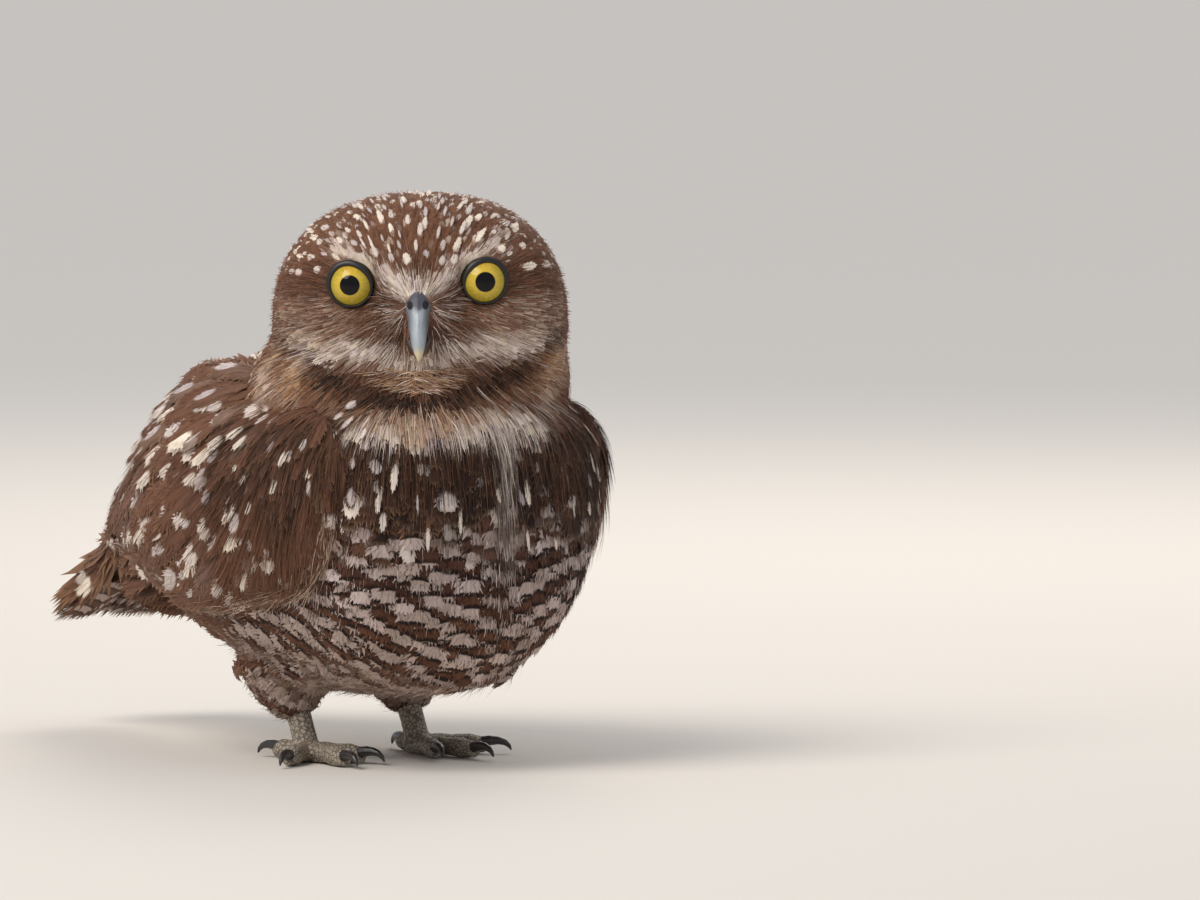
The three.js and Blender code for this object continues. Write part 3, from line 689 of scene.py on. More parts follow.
# %% [markdown]
# ## One feather's pattern
# A real vane is a flat blade whose barbs come loose at its edge. The pattern has a narrow blade with a
# raised middle, and a fringe of thin tapering barbs that carry it out to its true outline, so the coat
# looks soft at its edges without a picture. Patterns are drawn flat: across -1 to 1, along 0 to 1.

# %% Patterns for vanes and hairs
ROOT_SHARE = 0.35  # a vane's width at its root as a share of its full width
BLADE_END = 0.93  # the share of the length that the blade takes; barbs carry it on to the tip


def outline(along, shoulder):
    """Half width of a vane as a share, at each place along it. It narrows from the shoulder to the tip."""
    rise = ROOT_SHARE + (1 - ROOT_SHARE) * soft(along, -0.05, 0.4)
    tip = np.clip((along - shoulder) / (1 - shoulder), 0, 1)
    return rise * np.sqrt(np.clip(1 - tip**2, 0, 1))


def vane_pattern(seed, rows, barbs, aspect, shoulder=0.6, core=0.74, thick=0.035, loose=0.07, columns=3):
    """Flat points (across, along, lift) and triangles.

    Aspect is half width over length, core the blade's share of the width, thick a barb's half width as a
    share of the length, and loose how far barbs differ from one another.
    """
    chance = np.random.default_rng(seed)
    points, triangles = [], []
    levels = np.linspace(0, BLADE_END, rows + 1)
    ways = np.linspace(-1, 1, columns)
    for along in levels:
        half = core * outline(along, shoulder)
        points += [(w * half, along, 0.0) for w in ways]
    for r in range(rows):
        for c in range(columns - 1):
            a, b = r * columns + c, (r + 1) * columns + c
            triangles += [(a, a + 1, b + 1), (a, b + 1, b)]
    for side in (-1, 1):
        for n in range(barbs):
            share = (n + chance.uniform(0.1, 0.9)) / barbs
            bend = max(0.0, (share - 0.5) * 2) * math.pi / 2
            end_along = share * 2 * shoulder if share < 0.5 else shoulder + (1 - shoulder) * math.sin(bend)
            edge = float(outline(np.array(end_along), shoulder)) if share < 0.5 else math.cos(bend)
            end = np.array([side * edge * aspect, end_along])
            back = np.array([side * edge * aspect * 0.42, end_along - 0.13 - 0.05 * share])
            way = end - back
            reach = 1 + chance.normal(0, loose) + loose
            turn = chance.normal(0, loose * 1.6)
            way = np.array([way[0] * math.cos(turn) - way[1] * math.sin(turn),
                            way[0] * math.sin(turn) + way[1] * math.cos(turn)])
            wide = np.array([-way[1], way[0]]) / np.linalg.norm(way) * thick * chance.uniform(0.7, 1.2)
            lift = chance.uniform(-0.004, 0.02)
            first = len(points)
            for t, w, h in ((0, 1, 0), (0.55, 0.8, 0.4), (1, 0, 1)):
                spot = back + way * reach * t
                for s in ((-1, 1) if w else (0,)):
                    x, y = spot + wide * w * s
                    points.append((x / aspect, y, lift * h + 0.002))
            triangles += [(first, first + 1, first + 3), (first, first + 3, first + 2),
                          (first + 2, first + 3, first + 4)]
    return np.array(points), np.array(triangles)


def hair_pattern(levels):
    """One thin strand that tapers over some levels to a point."""
    points = [(s * (1 - 0.75 * k / levels), k / levels, 0.0) for k in range(levels) for s in (-1, 1)]
    points.append((0, 1, 0))
    triangles = []
    for k in range(levels - 1):
        a = 2 * k
        triangles += [(a, a + 1, a + 3), (a, a + 3, a + 2)]
    last = 2 * (levels - 1)
    triangles.append((last, last + 1, last + 2))
    return np.array(points, float), np.array(triangles)


print("points in a strand of four levels:", len(hair_pattern(4)[0]))

# %% [markdown]
# ## From shafts to a coat
# All feathers of one kind share a few patterns, so the whole tract is bent onto its shafts at once. Each
# batch keeps its own UV maps: the vane's own measure for the markings, millimetres for the barbs, and the
# bake patch that puts each tuft at its root's place on the skin's unwrap.

# %% Bend patterns onto shafts
PATCH = 0.003  # width of a tuft's place on the bake map


def bend_on(shafts, sideways, outward, length, half, patterns, looks, roots_uv, seed,
            cup=0.25, roll=0.12):
    """A batch of feathers as arrays. Looks are the ground and mark rows, one for each feather.

    Cup bows the vane down at its edges, and roll leans each feather a little to one side.
    """
    chance = np.random.default_rng(seed)
    batch = {"points": [], "triangles": [], "vane": [], "barb": [], "OFBake": [], "ground": [], "marks": []}
    choice = chance.integers(0, len(patterns), len(shafts))
    lean = chance.normal(0, roll, len(shafts))
    luck = chance.random(len(shafts))
    steps = shafts.shape[1]
    total = 0
    for n, (flat, triangles) in enumerate(patterns):
        mine = np.nonzero(choice == n)[0]
        if not len(mine):
            continue
        across, along, lift = flat.T
        at = np.clip(along, 0, None) * (steps - 1)
        low = np.clip(at.astype(int), 0, steps - 2)
        part = (at - low)[None, :, None]
        mix = lambda rows: rows[mine][:, low] * (1 - part) + rows[mine][:, low + 1] * part
        centre, beside, above = mix(shafts), mix(sideways), mix(outward)
        tilt = lean[mine][:, None, None]
        level, leant = np.cos(tilt), np.sin(tilt)
        beside, above = beside * level + above * leant, above * level - beside * leant
        wide = half[mine][:, None] * across[None]
        rise = lift[None] * length[mine][:, None] - cup * half[mine][:, None] * across[None] ** 2
        points = centre + beside * wide[..., None] + above * rise[..., None]
        count = len(flat)
        batch["points"].append(points.reshape(-1, 3))
        start = total + np.arange(len(mine)) * count
        batch["triangles"].append((triangles[None] + start[:, None, None]).reshape(-1, 3))
        vane = np.stack([across * 0.5 + 0.5, along], -1)
        batch["vane"].append(np.broadcast_to(vane, (len(mine), count, 2)).reshape(-1, 2))
        barb = np.stack([wide, along[None] * length[mine][:, None]], -1) / MM
        batch["barb"].append(barb.reshape(-1, 2))
        patch = np.stack([across * 0.5, along - 0.5], -1) * PATCH
        batch["OFBake"].append((roots_uv[mine][:, None] + patch[None]).reshape(-1, 2))
        for key, rows in zip(("ground", "marks"), looks):
            rows = rows[mine].copy()
            if key == "ground":
                rows[:, 3] = luck[mine]
            batch[key].append(np.repeat(rows, count, axis=0))
        total += len(mine) * count
    return {key: np.concatenate(values) for key, values in batch.items()}


def coat(name, batches, material, replaces=()):
    """Joins batches into one piece."""
    joined, total = {key: [] for key in batches[0]}, 0
    for batch in batches:
        for key, values in batch.items():
            joined[key].append(values + total if key == "triangles" else values)
        total += len(batch["points"])
    joined = {key: np.concatenate(values) for key, values in joined.items()}
    maps = {key: joined[key] for key in ("OFBake", "vane", "barb")}
    maps["OFBake"] = np.clip(maps["OFBake"], 0.0005, 0.9995)
    looks = {key: joined[key] for key in ("ground", "marks")}
    piece = make_piece(name, joined["points"], joined["triangles"], maps, looks)
    return finished(piece, material=material, replaces=replaces)


print("bake patch across, as a share of the map:", PATCH)

# %% [markdown]
# ## Shader sums written as sums
# A finish is easier to read as an expression than as a list of nodes and links. A small class wraps a
# socket, so that adding or multiplying two of them adds a Math node. Colours go through Mix and Vector
# Math, because a Math node would turn them grey.

# %% Sockets in sums
class Wire:
    """One output socket, usable in sums."""

    def __init__(self, board, socket):
        self.board, self.socket = board, socket

    def math(self, operation, *values):
        """One Math node."""
        return self.board.add("ShaderNodeMath", {"operation": operation}, dict(enumerate(values)))

    def __add__(self, other):
        return self.math("ADD", self, other)

    def __sub__(self, other):
        return self.math("SUBTRACT", self, other)

    def __rsub__(self, other):
        return self.math("SUBTRACT", other, self)

    def __mul__(self, other):
        return self.math("MULTIPLY", self, other)

    def __truediv__(self, other):
        return self.math("DIVIDE", self, other)

    def __rtruediv__(self, other):
        return self.math("DIVIDE", other, self)

    __radd__, __rmul__ = __add__, __mul__

    def __abs__(self):
        return self.math("ABSOLUTE", self)

    def root(self):
        """The square root."""
        return self.math("SQRT", self)

    def wave(self):
        """A sine from 0 to 1 that repeats each whole number."""
        return self.math("SINE", self * (2 * math.pi)) * 0.5 + 0.5

    def most(self, other):
        """The larger of two."""
        return self.math("MAXIMUM", self, other)

    def soft(self, low, high):
        """0 below low, 1 above high and smooth between."""
        low_out, high_out = (0.0, 1.0) if low < high else (1.0, 0.0)
        sockets = {"Value": self, "From Min": min(low, high), "From Max": max(low, high),
                   "To Min": low_out, "To Max": high_out}
        return self.board.add("ShaderNodeMapRange", {"interpolation_type": "SMOOTHSTEP"}, sockets)


reflected = [name for name in ("add", "sub", "mul", "truediv") if hasattr(Wire, f"__r{name}__")]
print("sums that may have a number on the left:", reflected)

# %% [markdown]
# ## One board for each material
# A material is a board of nodes round one Principled shader. It could be wired by hand for each finish. The
# class below gives each kind of node that the finishes use a short name, and links or sets its sockets.

# %% A board of nodes
class Board:
    """The nodes of one material, round one Principled shader."""

    def __init__(self, name):
        self.material = bpy.data.materials.new(name)
        self.material.use_nodes = True
        self.nodes, self.links = self.material.node_tree.nodes, self.material.node_tree.links
        self.shader = self.nodes["Principled BSDF"]

    def add(self, kind, settings=None, sockets=None, out=0):
        """Any node: its type, its settings, and the values or wires of its sockets."""
        node = self.nodes.new(kind)
        for key, value in (settings or {}).items():
            setattr(node, key, value)
        for key, value in (sockets or {}).items():
            self.plug(node.inputs[key], value)
        return Wire(self, node.outputs[out])

    def plug(self, socket, value):
        """Links a wire to a socket, or sets the socket's own value."""
        if isinstance(value, Wire):
            self.links.new(value.socket, socket)
        elif isinstance(value, tuple) and len(value) == 3 and socket.type == "RGBA":
            socket.default_value = (*value, 1)
        else:
            socket.default_value = value

    def set(self, **sockets):
        """Sets sockets of the Principled shader, named with _ for each space."""
        for key, value in sockets.items():
            self.plug(self.shader.inputs[key.replace("_", " ")], value)

    def mix(self, factor, first, second):
        """A colour between two others."""
        return self.add("ShaderNodeMix", {"data_type": "RGBA"}, {0: factor, 6: first, 7: second}, out=2)

    def brighten(self, colour, factor):
        """A colour times a factor."""
        return self.add("ShaderNodeVectorMath", {"operation": "SCALE"}, {0: colour, "Scale": factor})

    def vector(self, x=0.0, y=0.0, z=0.0):
        """Three numbers as one vector."""
        return self.add("ShaderNodeCombineXYZ", None, {0: x, 1: y, 2: z})

    def parts(self, vector):
        """The three numbers of a vector."""
        node = self.add("ShaderNodeSeparateXYZ", None, {0: vector}).socket.node
        return [Wire(self, socket) for socket in node.outputs]

    def noise(self, vector, scale=1.0, detail=2.0):
        """Smooth uneven values about a half."""
        return self.add("ShaderNodeTexNoise", None, {"Vector": vector, "Scale": scale, "Detail": detail})

    def attribute(self, name):
        """The four numbers of a colour attribute."""
        node = self.add("ShaderNodeAttribute", {"attribute_name": name}, out="Color").socket.node
        return [*self.parts(Wire(self, node.outputs["Color"])), Wire(self, node.outputs["Alpha"])]

    def map(self, name):
        """The two numbers of a UV map."""
        return self.parts(self.add("ShaderNodeUVMap", {"uv_map": name}))[:2]

    def object_place(self):
        """The place in the piece's own axes, in metres."""
        return self.add("ShaderNodeTexCoord", None, out="Object")

    def bump(self, height, strength, distance):
        """Normals as if the surface rose by the height times a distance in metres."""
        sockets = {"Height": height, "Strength": strength, "Distance": distance}
        return self.add("ShaderNodeBump", None, sockets)


def paint(code):
    """A colour written as on a paint chart, as the linear numbers that shaders use."""
    shares = [(code >> shift & 255) / 255 for shift in (16, 8, 0)]
    return tuple(s / 12.92 if s <= 0.04045 else ((s + 0.055) / 1.055) ** 2.4 for s in shares)


print("mid grey in linear light:", round(paint(0x808080)[0], 3))

# %% [markdown]
# ## Plumage
# A real feather is one dull colour with a mark or two, and a coat of them looks rich because no two are
# alike. A picture of a feather on every blade would repeat. So one recipe paints every feather from its own
# numbers. The ground goes from umber to cream by the place's shares. Oval spots, bars and streaks are drawn
# in the vane's own measure, and the bars take their phase from the body, so that neighbours line up into
# rough rows. Fine lines run along the barbs, outward and towards the tip.

# %% The plumage recipe
UMBER, CREAM, DARK, WARM = paint(0x6E4A37), paint(0xECDECB), paint(0x23150F), paint(0x80543A)
SPOT, BUFF, BARRED, DUSK = paint(0xCDBFBE), paint(0xB48E6A), paint(0xAE998D), paint(0x4C3025)


def plumage(name, spot_from_middle=0.4, spot_size=(0.36, 0.13), spot_along=0.74, shaft=0.0,
            varied=0.22, ragged=0.45, uneven_size=0.5):
    """A feather finish. Spot places and sizes are shares of the vane, and shaft darkens its middle line."""
    board = Board(name)
    u, along = board.map("vane")
    across = abs(u * 2 - 1)
    out_mm, along_mm = board.map("barb")
    pale, dark, warm, luck = board.attribute("ground")
    spot, bar, streak, phase = board.attribute("marks")
    run = along_mm - abs(out_mm) * 1.1
    lines = board.noise(board.vector(run * 2.6, out_mm * 0.3, luck * 40), detail=3.0)
    fine = board.noise(board.vector(run * 8.0, out_mm * 0.6, luck * 70))
    uneven = lines - 0.5

    colour = board.mix(dark, UMBER, DARK)
    colour = board.mix(warm * 0.8, colour, WARM)
    pale_edge = across.soft(0.55, 1.0).most(along.soft(0.86, 1.0))
    colour = board.mix(pale_edge * 0.3, colour, BUFF)
    light_part = board.mix(warm, board.mix(luck.soft(0.3, 0.9), CREAM, SPOT), BUFF)
    colour = board.mix((pale + uneven * pale * 0.5).soft(0.05, 0.95), colour, light_part)

    bent_band = phase - along_mm * (1 / BAR_PITCH) + across * across * 0.2
    band = (bent_band + uneven * 0.16 + luck * 0.12).wave()
    barred = board.mix(band.soft(0.05, 0.35), board.mix(warm, DUSK, WARM), DARK)
    pale_bar = board.mix(warm * 0.8, board.mix(luck * 0.7, BARRED, SPOT), board.mix(luck, BARRED, BUFF))
    barred = board.mix((band * across.soft(1.1, 0.8) + uneven * 0.3).soft(0.55, 0.72), barred, pale_bar)
    colour = board.mix(bar, colour, barred)

    web = (u - 0.5).soft(-0.02, 0.02) - 0.5
    side = (across - spot_from_middle) / spot_size[0]
    ahead = (along - spot_along - luck * 0.05 - web * (luck - 0.5) * 0.2) / spot_size[1]
    one_side = (web * (luck - 0.5)).soft(0.07, 0.04) if spot_from_middle else 1.0
    reach = (side * side + ahead * ahead).root() * (1 + uneven_size * (0.5 - luck))
    oval = (reach + (uneven + fine - 0.5) * ragged).soft(1.05, 0.7) * one_side
    colour = board.mix(oval * spot * 0.94, colour, board.mix(luck, SPOT, CREAM))
    stripe = (across + uneven * 0.3).soft(0.5, 0.25) * along.soft(0.15, 0.4) * streak
    colour = board.mix(stripe, colour, CREAM)
    if shaft:
        colour = board.mix(abs(out_mm).soft(0.22, 0.1) * shaft, colour, DARK)

    light = 0.61 - varied / 2 + lines * 0.5 + fine * 0.3 + luck * varied
    board.set(Base_Color=board.brighten(colour, light), Roughness=0.75, Sheen_Weight=0.05,
              Sheen_Roughness=0.5, Specular_IOR_Level=0.2)
    board.set(Normal=board.bump(lines + fine * 0.5, 0.35, 0.00025))
    return board.material


head_finish = plumage("head_plumage", spot_from_middle=0.0, spot_size=(0.7, 0.24), spot_along=0.66,
                      varied=0.4)
body_finish = plumage("body_plumage", spot_from_middle=0.3, spot_size=(0.42, 0.15), spot_along=0.7)
wing_finish = plumage("wing_plumage", spot_from_middle=0.4, spot_size=(0.52, 0.23), spot_along=0.76,
                      shaft=0.15)
quill_finish = plumage("quills", spot_from_middle=0.42, spot_size=(0.4, 0.045), spot_along=0.84, shaft=0.3)
strand_finish = plumage("loose_barbs", spot_from_middle=0.0, varied=0.75)
spotted_finish = plumage("spotted_plumage", spot_from_middle=0.0, spot_size=(0.95, 0.3), spot_along=0.7,
                         ragged=1.1, uneven_size=0.9)
print("plumage nodes:", len(wing_finish.node_tree.nodes))

# %% [markdown]
# ## The skin as a piece
# The skin shows only in the depths between feathers, where a real bird shows down. It could be one dark
# colour, but any thin place in the coat would then be a hole. It carries the same regions as its coat.

# %% Skin piece
def bare_maps(points, unwrap):
    """UV maps for a surface with no vanes: its own unwrap, and one place in the vane's measure."""
    return {"OFBake": unwrap.reshape(-1, 2), "vane": np.full((len(points), 2), (0.5, 0.2)),
            "barb": np.zeros((len(points), 2))}


skin_looks = {"ground": skin_ground, "marks": skin_marks * np.array([0, 1, 0, 1])}
skin_piece = make_piece("skin", skin_points, skin_triangles, bare_maps(skin_points, skin_unwrap), skin_looks)
finished(skin_piece, material=body_finish, replaces=FLESH)

# %% [markdown]
# ## The body's tracts
# Feathers are smallest on the face and grow steadily down the neck to the breast and back. They are
# scattered with a distance that fits their size, so each tract has its own spacing and patterns. Where the
# wing, an eye or the bill covers the body, none grows.

# %% How long and wide a feather is
def feather_size(points):
    """Length and half width in metres."""
    head, body = in_head(points), plan(points)
    front = soft(head[:, 1], -8, -20)
    face = hill(np.linalg.norm(head[:, [0, 2]] - FACE_MIDDLE[[0, 2]], axis=1), 20) * front
    eye = np.hypot(np.abs(head[:, 0]) - EYE_SPREAD, head[:, 2] - EYE_RISE) + 40 * (1 - front)
    length = 6.4 - 2.6 * face + 4.0 * soft(head[:, 2], -6, -24)
    length = length + 5.0 * soft(body[:, 2], 92, 70) * soft(head[:, 2], -14, -30)
    length = length * (0.5 + 0.5 * soft(body[:, 2], 20, 42))
    length = length * (0.45 + 0.55 * soft(eye, 6, 11))
    return length * MM, length * (0.25 - 0.03 * face + 0.05 * soft(head[:, 2], -18, -32)) * MM


def under_wing(points):
    """True where the folded wing hides the body, by more than a margin in degrees and millimetres."""
    margin = 8.0
    _, y, z = plan(points).T
    angle = body_angle(points)
    covered = (angle > wing_low(y) + margin) & (angle < wing_high(y) - margin)
    return covered & (y > WING_START + margin) & (y < 90) & (z > 20)


def bare_face(points, margin=1.5):
    """True at the eyes, by a margin in millimetres, and at the bill, where no feather grows."""
    x, y, z = in_head(points).T
    eye = np.hypot(np.abs(x) - EYE_SPREAD, z - EYE_RISE) < EYE_OPENING + margin
    bill = (np.abs(x) < 2.9) & (z < 9.3) & (z > -6.0)
    return (y < -10) & (eye | bill)


print("skin points that the wings hide:", int(under_wing(skin_points).sum()))

# %% [markdown]
# ## Three kinds of growth
# Vanes give the coat its body, loose barbs its softness, and a few marked feathers its clear spots. Each kind
# is scattered, headed along the lie with some chance, laid on the skin and bent from shared patterns. The
# looks are asked for near the tip, where the feather shows, and not at its hidden root.

# %% Batches of feathers, barbs and marked feathers
FEATHER_SLOPE = 0.13
BARB_LEVELS = 3


def looks_at(surface_points, normals, chance, stray, uneven):
    """Looks asked for a little to one side of each root, so that the regions' edges break up."""
    moved = surface_points + chance.normal(0, stray * MM, surface_points.shape)
    ground, marks = plumage_at(moved, normals)
    ground[:, :3] = ground[:, :3] + chance.normal(0, uneven, (len(ground), 3)) * (0.3 + ground[:, :3])
    return np.clip(ground, 0, 1), marks


def feathered(wanted, spacing, patterns, seed, size=1.0, spots=0.2):
    """One batch of small feathers where wanted(points, normals) is true. Spots is the share with a spot."""
    grows = lambda p, n: wanted(p, n) & ~under_wing(p) & ~bare_face(p)
    roots, normals = skin.scatter(grows, spacing * MM, seed)
    chance = np.random.default_rng(seed + 1)
    headings = lie(roots, normals) + chance.normal(0, 0.10, roots.shape)
    length, half = (size * value for value in feather_size(roots))
    length = length * chance.uniform(0.85, 1.15, len(roots))
    rise = FEATHER_SLOPE * chance.uniform(0.8, 1.25, len(roots))
    shafts = lay_shafts(skin, roots, flat_on(headings, normals), length, rise)
    ground, marks = looks_at(shafts[0][:, 3], normals, chance, 0.7, 0.12)
    marks[:, 3] += (0.75 * length / MM) / BAR_PITCH
    marks[:, 0] *= chance.random(len(roots)) < spots
    print(len(roots), "feathers, mean length mm", (length.mean() / MM).round(1))
    return bend_on(*shafts, length, half, patterns, (ground, marks), skin.unwrapped(roots), seed + 2)


def stranded(wanted, spacing, seed, longer, half, slope=0.2, spread=0.16, start=0.0, uneven=0.3,
             surface=skin):
    """One batch of single loose barbs, longer than the feathers there by a factor."""
    grows = lambda p, n: wanted(p, n) & ~bare_face(p, 1.1)
    roots, normals = surface.scatter(grows, spacing * MM, seed)
    chance = np.random.default_rng(seed + 1)
    headings = lie(roots, normals) + chance.normal(0, spread, roots.shape)
    length = feather_size(roots)[0] * longer * chance.uniform(0.6, 1.25, len(roots))
    rise = slope * chance.uniform(0.5, 1.5, len(roots))
    shafts = lay_shafts(surface, roots, flat_on(headings, normals), length, rise, steps=BARB_LEVELS + 1,
                        start=start * MM)
    looks = looks_at(shafts[0][:, -2], normals, chance, 0.9, uneven)
    looks[1][:, 3] += length / MM * (1 - 1 / BARB_LEVELS) / BAR_PITCH
    looks[1][:, [0, 2]] = 0
    wide = np.full(len(roots), half * MM) * chance.uniform(0.7, 1.3, len(roots))
    print(len(roots), "strands, mean length mm", (length.mean() / MM).round(1))
    return bend_on(*shafts, length, wide, [hair_pattern(BARB_LEVELS)], looks, skin.unwrapped(roots),
                   seed + 2, cup=0.0, roll=0.5)


def marked(wanted, spacing, length, half, seed, start, slope):
    """Single feathers with one clear pale spot each, laid over the rest. Most is the largest's factor."""
    most = 1.35
    grows = lambda p, n: wanted(p, n) & ~bare_face(p, 2.0)
    roots, normals = skin.scatter(grows, spacing * MM, seed)
    chance = np.random.default_rng(seed + 1)
    headings = lie(roots, normals) + chance.normal(0, 0.12, roots.shape)
    lengths = length * MM * chance.uniform(0.65, most, len(roots))
    halves = half * MM * chance.uniform(0.5, most, len(roots))
    shafts = lay_shafts(skin, roots, flat_on(headings, normals), lengths, np.full(len(roots), slope),
                        start=start * MM)
    looks = looks_at(shafts[0][:, 3], normals, chance, 0.5, 0.1)
    looks[0][:, 0] *= 0.4
    looks[1][:] = (1, 0, 0, 0)
    print(len(roots), "spotted feathers")
    return bend_on(*shafts, lengths, halves, mark_vanes, looks, skin.unwrapped(roots), seed + 2)


mark_vanes = [vane_pattern(seed, 3, 9, 0.22, core=0.8, thick=0.03, loose=0.07) for seed in range(30, 35)]
small_vanes = [vane_pattern(seed, 3, 6, 0.24, thick=0.035, loose=0.1) for seed in range(6)]
body_vanes = [vane_pattern(seed, 4, 13, 0.25, thick=0.022, loose=0.11) for seed in range(10, 18)]
print("patterns:", len(mark_vanes), "marked,", len(small_vanes), "small and", len(body_vanes), "for the body")

# %% [markdown]
# ## Head, neck and body
# One coat over the whole bird would be too large a piece to handle. Each tract is its own piece, cut where
# the size of the feathers changes, and the lie and the regions run on across the cuts.

# %% Head, neck and body feathers
on_head = lambda p, n: in_head(p)[:, 2] > -14
on_neck = lambda p, n: (in_head(p)[:, 2] <= -14) & (plan(p)[:, 2] > 76)
on_body = lambda p, n: (in_head(p)[:, 2] <= -14) & (plan(p)[:, 2] <= 76) & ~on_thigh(p, n)
on_thigh = lambda p, n: (plan(p)[:, 2] < 30) & (plan(p)[:, 1] < 50)
behind = lambda p: plan(p)[:, 1] > 8
facing = lambda p: in_head(p)[:, 1] < -6

coat("crown_feathers",
     [feathered(lambda p, n: on_head(p, n) & ~facing(p), 1.25, small_vanes, 100)], head_finish)
coat("face_feathers",
     [feathered(lambda p, n: on_head(p, n) & facing(p), 1.0, small_vanes, 110)], head_finish)
coat("neck_feathers", [feathered(on_neck, 1.8, body_vanes, 120, size=0.9)], body_finish)
coat("breast_feathers",
     [feathered(lambda p, n: on_body(p, n) & ~behind(p), 2.2, body_vanes, 130)], body_finish)
coat("thigh_feathers", [feathered(on_thigh, 1.7, small_vanes, 145)], body_finish)
coat("back_feathers",
     [feathered(lambda p, n: on_body(p, n) & behind(p), 2.5, body_vanes, 140, spots=0.45)], body_finish)

# %% [markdown]
# ## Loose barbs and bristles
# Much of what the eye reads as fluff is single barbs that stand clear of their vanes. Hair curves would be
# lost when the model leaves Blender, so they are laid as thin blades: short on the face, stiff round the
# bill, long on throat and breast. Their tone varies more from one to the next than the vanes' does, which
# draws the fine streaks of the face.

# %% Loose barbs
on_forehead = lambda p, n: facing(p) & (in_head(p)[:, 2] > 17)
on_cheeks = lambda p, n: on_head(p, n) & facing(p) & ~on_forehead(p, n)
by_bill = lambda p, n: facing(p) & (np.abs(in_head(p)[:, 0]) < 10) & (np.abs(in_head(p)[:, 2] - 2) < 7)
in_front = lambda p, n: on_body(p, n) & ~behind(p) & ~under_wing(p)
on_back = lambda p, n: on_body(p, n) & behind(p) & ~under_wing(p)


def crease_line(points, normals):
    """The middle line of the breast, from the throat down."""
    across, along, up = plan(points).T
    return (np.abs(across) < 2.6) & (along < -38) & (np.abs(up - 66) < 22)


def chin_rim(seed):
    """Rows of buff barbs that run sideways under the bill, like the lay of a rope."""
    chance = np.random.default_rng(seed)
    row = np.repeat(np.arange(4), (60, 110, 110, 80))
    across = chance.normal(0, 1, len(row)) * np.array([4.5, 6.5, 7, 5.5])[row]
    rise = -9.6 - 1.5 * row + 0.016 * across**2 * (1 + 0.1 * row) + chance.normal(0, 0.2, len(row))
    roots, normals = skin.nearest(from_head(across, -30 + 0 * across, rise))
    side = np.sign(across + chance.normal(0, 3, len(across)))
    tip_down = side * 0.028 * across - 0.2 + chance.normal(0, 0.15, len(row))
    ways = np.stack([side, 0 * side, tip_down], -1) @ head_axes.T
    length = chance.uniform(2.5, 5, len(row)) * MM
    shafts = lay_shafts(skin, roots, flat_on(ways, normals), length, np.full(len(row), 0.15),
                        follow=0.1, start=0.9 * MM)
    ground = np.tile((0.6, 0.1, 0.8, 0.0), (len(row), 1)) + chance.normal(0, 0.3, (len(row), 4))
    looks = (np.clip(ground, 0, 1), np.zeros((len(row), 4)))
    return bend_on(*shafts, length, np.full(len(row), 0.17 * MM), [hair_pattern(4)], looks,
                   skin.unwrapped(roots), seed, cup=0.0, roll=0.5)


coat("face_strands",
     [chin_rim(180),
      stranded(on_cheeks, 0.45, 115, 0.95, 0.1, start=0.25, uneven=0.4),
      stranded(on_forehead, 0.7, 117, 0.8, 0.1, start=0.2),
      stranded(by_bill, 0.62, 119, 1.4, 0.085, slope=0.36, start=0.4, spread=0.3, uneven=0.6)], strand_finish)
coat("crown_strands",
     [stranded(lambda p, n: on_head(p, n) & ~facing(p), 0.95, 121, 0.8, 0.1, start=0.2)], strand_finish)
coat("neck_strands",
     [stranded(on_neck, 0.64, 125, 0.9, 0.12, slope=0.18, start=0.5)], strand_finish)
coat("breast_strands",
     [stranded(in_front, 0.85, 135, 0.6, 0.12, slope=0.16, start=0.8),
      stranded(crease_line, 1.0, 137, 0.8, 0.15, start=1.6, uneven=0.15),
      stranded(on_thigh, 1.1, 138, 0.9, 0.1, start=0.5)], strand_finish)
coat("back_strands",
     [stranded(on_back, 1.3, 139, 0.6, 0.12, slope=0.16, start=0.9)], strand_finish)

# %% [markdown]
# ## Spots that must show
# The clear spots of forehead, neck and breast are each the end of one feather that lies on top. Marks on
# the common vanes are half hidden by the next row, so these spots get feathers of their own: long narrow
# ones on the forehead, small ones on the crown, broad ones below.

# %% Spotted feathers
on_crown = lambda p, n: on_head(p, n) & ~on_forehead(p, n) & ((in_head(p)[:, 2] > 14) | ~facing(p))
mid_forehead = lambda p, n: on_forehead(p, n) & (np.abs(in_head(p)[:, 0]) < 13)
off_middle = lambda p, n: on_crown(p, n) | (on_forehead(p, n) & ~mid_forehead(p, n))
side_neck = lambda p, n: on_neck(p, n) & ((np.abs(plan(p)[:, 0]) > 27) | (plan(p)[:, 1] > 0))


def upper_breast(points, normals):
    """The dark band of the breast above the bars."""
    _, along, up = plan(points).T
    return on_body(points, normals) & (along < 0) & (np.abs(up - 68) < 9) & ~under_wing(points)


coat("head_spots",
     [marked(mid_forehead, 2.7, 6.0, 0.75, 150, start=0.45, slope=0.16),
      marked(off_middle, 3.2, 4.2, 1.05, 155, start=0.45, slope=0.16)], spotted_finish)
coat("neck_spots",
     [marked(side_neck, 4.6, 9.0, 1.9, 160, start=0.9, slope=0.15)], spotted_finish)
coat("breast_spots",
     [marked(upper_breast, 12.0, 9.0, 3.6, 165, start=0.9, slope=0.15),
      marked(upper_breast, 8.0, 8.0, 0.9, 169, start=1.2, slope=0.15)], spotted_finish)

# %% [markdown]
# ## The wings
# A folded wing is rows of long feathers, primaries and secondaries, with many small coverts over their
# roots and the scapulars over those from the back. Each long feather is seen by itself, so these rows are
# counted and not scattered. Placing each feather by hand would take sixty-eight places. A row here is a few
# numbers: where its first and last feather start and end along and round the body.

